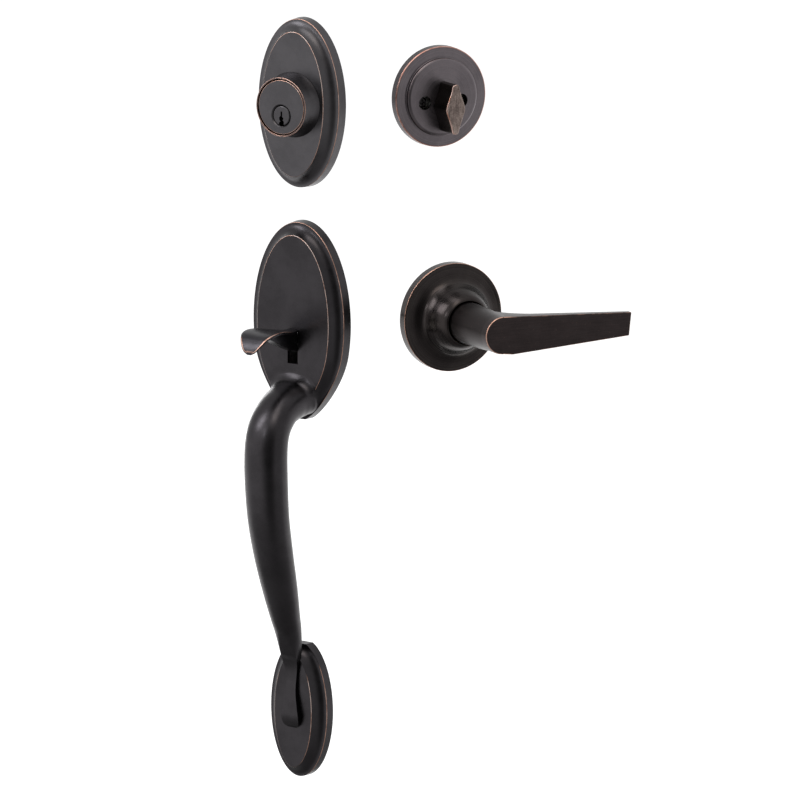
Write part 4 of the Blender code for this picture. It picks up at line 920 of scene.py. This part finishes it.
def screw_mesh(x, y):
    """A long screw with a cross recess."""
    top = SCREW_SEAT + SCREW_HEAD_HEIGHT
    head = SCREW_HEAD_RADIUS
    line = rounded([(head * 0.3, top), (head * 0.74, top, 0.0006),
                    (head, top - 0.35 * SCREW_HEAD_HEIGHT, 0.0003, 0.2), (head, SCREW_SEAT),
                    (SCREW_RADIUS, SCREW_SEAT), (SCREW_RADIUS, SCREW_END + 0.001),
                    (SCREW_RADIUS * 0.6, SCREW_END)])
    arm = 0.62 * head
    half = 0.16 * head
    low = top - 0.55 * SCREW_HEAD_HEIGHT
    high = top + OVER
    cuts = [block((-half, -arm, low), (half, arm, high)), block((-arm, -half, low), (arm, half, high))]
    return moved(carved(lathe(line, 64), cuts), x, y)


def make_thumbturn():
    disc = TURN_DISC_RADIUS
    rose = TURN_ROSE_RADIUS
    outer = [(disc * 0.5, TURN_DISC_HEIGHT), (disc - 0.0014, TURN_DISC_HEIGHT - 0.00005, 0.0022),
             (disc, TURN_DISC_HEIGHT - 0.0009, 0.0007, 0.35), (disc + 0.0002, TURN_LEDGE - 0.0001, 0.0003),
             (disc + 0.0016, TURN_LEDGE, 0.0008), (rose - 0.0002, TURN_LEDGE - 0.0003, 0.0009, 1.1),
             (rose, 0.0, 0.0002)]
    low = TURN_LEDGE - ROSE_SHEET
    high = TURN_DISC_HEIGHT - ROSE_SHEET
    inner = [(rose - ROSE_SHEET, 0.0), (rose - ROSE_SHEET, low), (disc - ROSE_SHEET, low),
             (disc - ROSE_SHEET, high), (disc * 0.5, high)]
    cutters = [rod(TURN_SHAFT_RADIUS + GAP, 0.0, 0.012, 0.0, -PLUG_DROP, 64)]
    for side in (-1, 1):
        cutters.append(rod(RECESS_RADIUS, 0.003, 0.012, side * SCREW_SPACING / 2, -SCREW_DROP, 64))
    piece("thumbturn_rose_fine", carved(lathe(rounded([*outer, *inner]), 160), cutters), "inside_thumbturn",
          TRIM, rose_bronze, "thumbturn_rose", slot="turn_bronze")

    # The knob's outline is a smooth diamond, made from its upper right quarter
    quarter = [(0.30, 0.955), (0.47, 0.69), (0.70, 0.42), (0.97, 0.09)]
    right = [*quarter, *[(x, -y) for x, y in reversed(quarter)]]
    points = [(0.0, 1.0), *right, (0.0, -1.0), *[(-x, y) for x, y in reversed(right)]]
    points = [(x * TURN_HALF_WIDTH, y * TURN_HALF_HEIGHT) for x, y in points]
    steps = 10
    outline = smooth_path([*points[-2:], *points, *points[:2]], steps)[2 * steps:-2 * steps]
    tangent = np.roll(outline, -1, 0) - np.roll(outline, 1, 0)
    normal = np.stack([-tangent[:, 1], tangent[:, 0]], 1)
    normal /= np.hypot(normal[:, 0], normal[:, 1])[:, None]

    base = TURN_DISC_HEIGHT + GAP
    edge = TURN_EDGE
    rings, rubs = [], []
    for down, inset, rub in (
            (TURN_FRONT - base, 0.0, 0.0), (edge + 0.0004, 0.0, 0.0), (edge, 0.0, 0.4),
            (0.6 * edge, 0.08 * edge, 0.8), (0.3 * edge, 0.3 * edge, 1.0), (0.07 * edge, 0.62 * edge, 0.8),
            (0.0, edge, 0.35), (0.0, edge + 0.0003, 0.0)):
        flat = outline - normal * inset
        rings.append(np.column_stack([flat, np.full(len(flat), TURN_FRONT - down)]))
        rubs.append(rub * np.where(flat[:, 0] < 0.0004, 1.3, 0.35))
    knob = skin(rings, rubs)
    shaft = TURN_SHAFT_RADIUS
    groove = shaft - CLIP_DEPTH
    shaft_mesh = lathe([(shaft, base + 0.0010), (shaft, CLIP_TOP), (groove, CLIP_TOP),
                        (groove, CLIP_BOTTOM), (shaft, CLIP_BOTTOM), (shaft, TURN_SHAFT_END)], 64)
    slot = block((-TAIL_SHEET / 2 - GAP, -TAIL_WIDTH / 2 - GAP, TURN_SHAFT_END - OVER),
                 (TAIL_SHEET / 2 + GAP, TAIL_WIDTH / 2 + GAP, 0.0037))
    knob = moved(merged(knob, carved(shaft_mesh, [slot])), y=-PLUG_DROP)
    piece("thumbturn_fine", knob, "inside_thumbturn", TURN, turn_bronze, "thumbturn", slot="turn_bronze")
    for name, side in (("left", -1), ("right", 1)):
        piece(f"thumbturn_screw_{name}_fine", screw_mesh(side * SCREW_SPACING / 2, -SCREW_DROP),
              "inside_thumbturn", TRIM, black_steel, f"thumbturn_screw_{name}", slot="black_steel")


# Lever

def blade_section(x, middle, half, back, front, count=10):
    """A section of the blade: sharp corners in front, which are rounded later, and a round back."""
    radius = min(2.6 * LEVER_EDGE_ROUND, 0.48 * (front - back), half * 0.8)
    ring = [(x, middle + half, front), (x, middle - half, front)]
    for side, steps in ((-1, range(count + 1)), (1, range(count, -1, -1))):
        for step in steps:
            turn = math.pi / 2 * step / count
            ring.append((x, middle + side * (half - radius + radius * math.cos(turn)),
                         back + radius - radius * math.sin(turn)))
    return ring


def set_screw_hole():
    low = -SHANK_RADIUS - 0.002
    high = -DRIVER_RADIUS + 0.001
    return skin([[(across, y, SET_SCREW_OUT + out) for across, out, _ in circle(SET_SCREW_HOLE, 0.0, 24)]
                 for y in (low, high)])


def make_lever():
    hole = LEVER_HOLE_RADIUS
    rose = LEVER_ROSE_RADIUS
    width = rose - hole
    rise = LEVER_ROSE_FRONT - LEVER_ROSE_RIM
    trumpet = smooth_path([(hole + across * width, LEVER_ROSE_RIM + up * rise) for across, up in (
        (0.054, 0.973), (0.151, 0.855), (0.263, 0.629), (0.361, 0.371), (0.473, 0.188), (0.649, 0.081),
        (0.834, 0.032), (0.941, 0.016))], 8)
    outer = [(hole, LEVER_ROSE_FRONT - 0.0014), (hole, LEVER_ROSE_FRONT - 0.0001, 0.0003, 0.15),
             *trumpet, (rose - 0.0001, LEVER_ROSE_RIM, 0.00045, 1.0), (rose, 0.0, 0.0002)]
    inner = [(rose - ROSE_SHEET, 0.0), (rose - ROSE_SHEET, LEVER_ROSE_RIM - ROSE_SHEET),
             (hole + 0.42 * width, LEVER_ROSE_RIM + 0.12 * rise),
             (hole + 0.205 * width, LEVER_ROSE_RIM + 0.565 * rise),
             (hole + 0.0006, LEVER_ROSE_FRONT - 0.0026)]
    trim = lathe(rounded([*outer, *inner], closed=True), 176, closed=True)
    piece("lever_rose_fine", trim, "inside_lever", TRIM, lever_rose_bronze, "lever_rose",
          slot="lever_bronze")

    shank = lathe([(SHANK_FRONT_RADIUS, LEVER_FRONT), (SHANK_FRONT_RADIUS, LEVER_FRONT - 0.0012),
                   (SHANK_FRONT_RADIUS + 0.0001, LEVER_FRONT - 0.010),
                   (SHANK_RADIUS - 0.0005, LEVER_FRONT - 0.024), (SHANK_RADIUS, LEVER_ROSE_FRONT + 0.004),
                   (SHANK_RADIUS, SHANK_BACK)], 96)
    # Along the blade's length, how many times thicker than plain it swells towards its root
    rows = smooth_path([(0.00, 2.1), (0.07, 1.75), (0.14, 1.35), (0.24, 1.08), (0.40, 1.0), (0.70, 1.0),
                        (1.00, 1.0)], 10)
    rings = []
    for share, swell in rows:
        half = LEVER_ROOT_HALF_HEIGHT + share * (LEVER_TIP_HALF_HEIGHT - LEVER_ROOT_HALF_HEIGHT)
        thick = LEVER_ROOT_THICKNESS + share * (LEVER_TIP_THICKNESS - LEVER_ROOT_THICKNESS)
        started = min(1.0, share / 0.08)
        half += BLADE_FULLER * started * (1 - share)
        middle = started * (BLADE_MIDDLE + share * (BLADE_TIP - BLADE_MIDDLE))
        section = blade_section(share * LEVER_REACH, middle, half, LEVER_FRONT - thick * swell, LEVER_FRONT)
        slant = BLADE_SLANT * share ** 6
        rings.append([(x - slant * (middle + half - y), y, z) for x, y, z in section])
    lever = carved(shank, [skin(rings)], "UNION")
    driver_bore = rod(DRIVER_RADIUS + GAP, SHANK_BACK - OVER, SHANK_BACK + SHANK_BORE_DEPTH, sides=64)
    lever = carved(lever, [driver_bore, set_screw_hole()])

    # The front face's edge and the tip's are rounded
    shape = bmesh.new()
    shape.from_mesh(lever)
    bmesh.ops.dissolve_limit(shape, angle_limit=math.radians(0.5), verts=shape.verts[:],
                             edges=shape.edges[:])
    sharp = []
    for edge in shape.edges:
        if len(edge.link_faces) != 2:
            continue
        flat = [face.normal.z > 0.99 and abs(face.calc_center_median().z - LEVER_FRONT) < 1e-5
                for face in edge.link_faces]
        tip = [face.normal.x > 0.99 for face in edge.link_faces]
        if flat[0] != flat[1] or tip[0] != tip[1]:
            sharp.append(edge)
    bmesh.ops.bevel(shape, geom=sharp, offset=0.0006, segments=5, affect="EDGES", profile=0.5)
    mesh = bpy.data.meshes.new("lever")
    shape.to_mesh(mesh)
    shape.free()

    # The front face's rounding is rubbed, most round the shank and least along the upper edge
    x, y, z = np.array([vertex.co[:] for vertex in mesh.vertices]).T
    rub = (z < LEVER_FRONT - 0.00002) & (z > LEVER_FRONT - 0.00055)
    rub = rub * np.where(x > 0.004, np.where(y > 0, 0.42, 0.55), 1.0)
    mesh.attributes["rub"].data.foreach_set("value", rub.astype(np.float32))
    piece("lever_handle_fine", mesh, "inside_lever", LEVER, lever_bronze, "lever_handle",
          slot="lever_bronze")


make_deadbolt()
make_handle()
make_thumbpiece()
make_thumbturn()
make_lever()

FINISHES = {
    "zinc_steel": zinc_steel, "black_steel": black_steel, "spring_bronze": spring_bronze,
    "plug_bronze": plug_bronze, "plate_bronze": plate_bronze, "handle_bronze": handle_bronze,
    "thumb_bronze": thumb_bronze, "turn_bronze": turn_bronze, "lever_bronze": lever_bronze,
}
for row in frame["record"]["subparts"]:
    for holder in frame["nodes"][row["node"]].material_slots:
        holder.material = FINISHES[row["material_slot"]]


# Studio

CAMERA_TURN = math.radians(33.0)
CAMERA_RISE = math.radians(12.0)
CAMERA_ROLL = math.radians(0.28)
CAMERA_DISTANCE = 3.256
TARGET = Vector((0.0729, -0.0013, -0.04235))
FOCAL_PIXELS = 5198.0
PICTURE_PIXELS = 800.0


def way(azimuth, rise):
    """The way from the object to a place at an azimuth from -Y towards +X, and at a rise."""
    return Vector((math.sin(azimuth) * math.cos(rise), -math.cos(azimuth) * math.cos(rise), math.sin(rise)))


towards = way(CAMERA_TURN, CAMERA_RISE)
camera = bpy.data.objects.new("camera", bpy.data.cameras.new("camera"))
camera.data.sensor_width = 36.0
camera.data.lens = FOCAL_PIXELS / PICTURE_PIXELS * camera.data.sensor_width
camera.data.clip_start = 0.1
camera.data.clip_end = 50.0
camera.location = TARGET + towards * CAMERA_DISTANCE
camera.rotation_mode = "QUATERNION"
camera.rotation_quaternion = Quaternion(towards, CAMERA_ROLL) @ (-towards).to_track_quat("-Z", "Y")
link(camera)
bpy.context.scene.camera = camera

FLOOR = -0.42
FLOOR_GLOW = 0.45
BEHIND = Vector((-math.sin(CAMERA_TURN), math.cos(CAMERA_TURN), 0.0))
ASIDE = Vector((math.cos(CAMERA_TURN), math.sin(CAMERA_TURN), 0.0))
FLOOR_NEAR = 0.15
FLOOR_FAR = 9.0
FLOOR_NEAR_HALF = 2.4
FLOOR_FAR_HALF = 4.0
floor_corners = []
for far, wide in ((FLOOR_NEAR, -FLOOR_NEAR_HALF), (FLOOR_FAR, -FLOOR_FAR_HALF),
                  (FLOOR_FAR, FLOOR_FAR_HALF), (FLOOR_NEAR, FLOOR_NEAR_HALF)):
    floor_corners.append(BEHIND * far + ASIDE * wide + Vector((0.0, 0.0, FLOOR)))
floor_mesh = bpy.data.meshes.new("floor")
floor_mesh.from_pydata(floor_corners, [], [(3, 2, 1, 0)])
floor = bpy.data.objects.new("floor", floor_mesh)
link(floor)
floor_material = bpy.data.materials.new("pale floor")
tree = Tree(floor_material)
tree.shade("Base Color", (0.86, 0.86, 0.86, 1.0))
tree.shade("Roughness", 0.9)
tree.shade("Specular IOR Level", 0.0)
ray = tree.add("ShaderNodeLightPath").outputs
mirrored = tree.maths("MAXIMUM", ray["Is Glossy Ray"], ray["Is Transmission Ray"])
seen = tree.maths("MAXIMUM", ray["Is Camera Ray"], mirrored)
tree.shade("Emission Color", (1.0, 1.0, 1.0, 1.0))
tree.shade("Emission Strength", tree.times(seen, FLOOR_GLOW))
floor_mesh.materials.append(floor_material)

MIDDLE = Vector((0.06, 0.0, -0.03))


def softbox(name, size_x, size_y, level, azimuth, rise, distance, colour=(1.0, 1.0, 1.0)):
    """An area lamp that faces the object, as bright as its level whatever its size; angles in degrees."""
    light = bpy.data.lights.new(name, "AREA")
    light.shape = "RECTANGLE"
    light.size = size_x
    light.size_y = size_y
    light.energy = level * math.pi * size_x * size_y
    light.color = colour
    thing = bpy.data.objects.new(name, light)
    thing.location = MIDDLE + way(math.radians(azimuth), math.radians(rise)) * distance
    thing.rotation_mode = "QUATERNION"
    thing.rotation_quaternion = (MIDDLE - thing.location).to_track_quat("-Z", "Y")
    link(thing)


softbox("left softbox", 0.5, 1.1, 6.5, -40.0, 38.0, 2.1, (0.97, 0.98, 1.0))
softbox("front softbox", 0.8, 0.9, 2.4, 40.0, 58.0, 2.0, (1.0, 0.93, 0.84))
softbox("small softbox", 0.22, 0.40, 8.0, -8.0, 24.0, 2.1, (0.95, 0.97, 1.0))
softbox("top softbox", 1.0, 0.6, 2.0, 0.0, 80.0, 1.9)
softbox("rim softbox", 0.6, 1.8, 3.2, -122.0, -2.0, 2.0)

world = bpy.data.worlds.new("studio")
bpy.context.scene.world = world
tree = Tree(world, shader="Background")
facing = tree.add("ShaderNodeTexCoord").outputs["Generated"]
x, y, z = tree.add("ShaderNodeSeparateXYZ", Vector=facing).outputs


def towards_azimuth(azimuth):
    """1 in the direction of an azimuth in degrees, and -1 opposite."""
    azimuth = math.radians(azimuth)
    return tree.maths("ADD", tree.times(x, math.sin(azimuth)), tree.times(y, -math.cos(azimuth)))


# A room that is dark round the camera, dim to the right and below, and light to the left
gap = tree.ramp(towards_azimuth(28.0), 0.68, 0.98, 1.0, 0.10)
right = tree.ramp(towards_azimuth(85.0), 0.45, 0.97, 1.0, 0.62)
below = tree.ramp(z, -0.85, -0.15, 0.25, 1.0)
above = tree.ramp(z, 0.0, 0.7, 1.0, 0.75)
tree.shade("Color", (1.0, 1.0, 1.0, 1.0))
tree.shade("Strength", tree.times(tree.times(gap, right), tree.times(below, above)))

bpy.context.scene.view_settings.view_transform = "Standard"

bpy.context.view_layer.update()
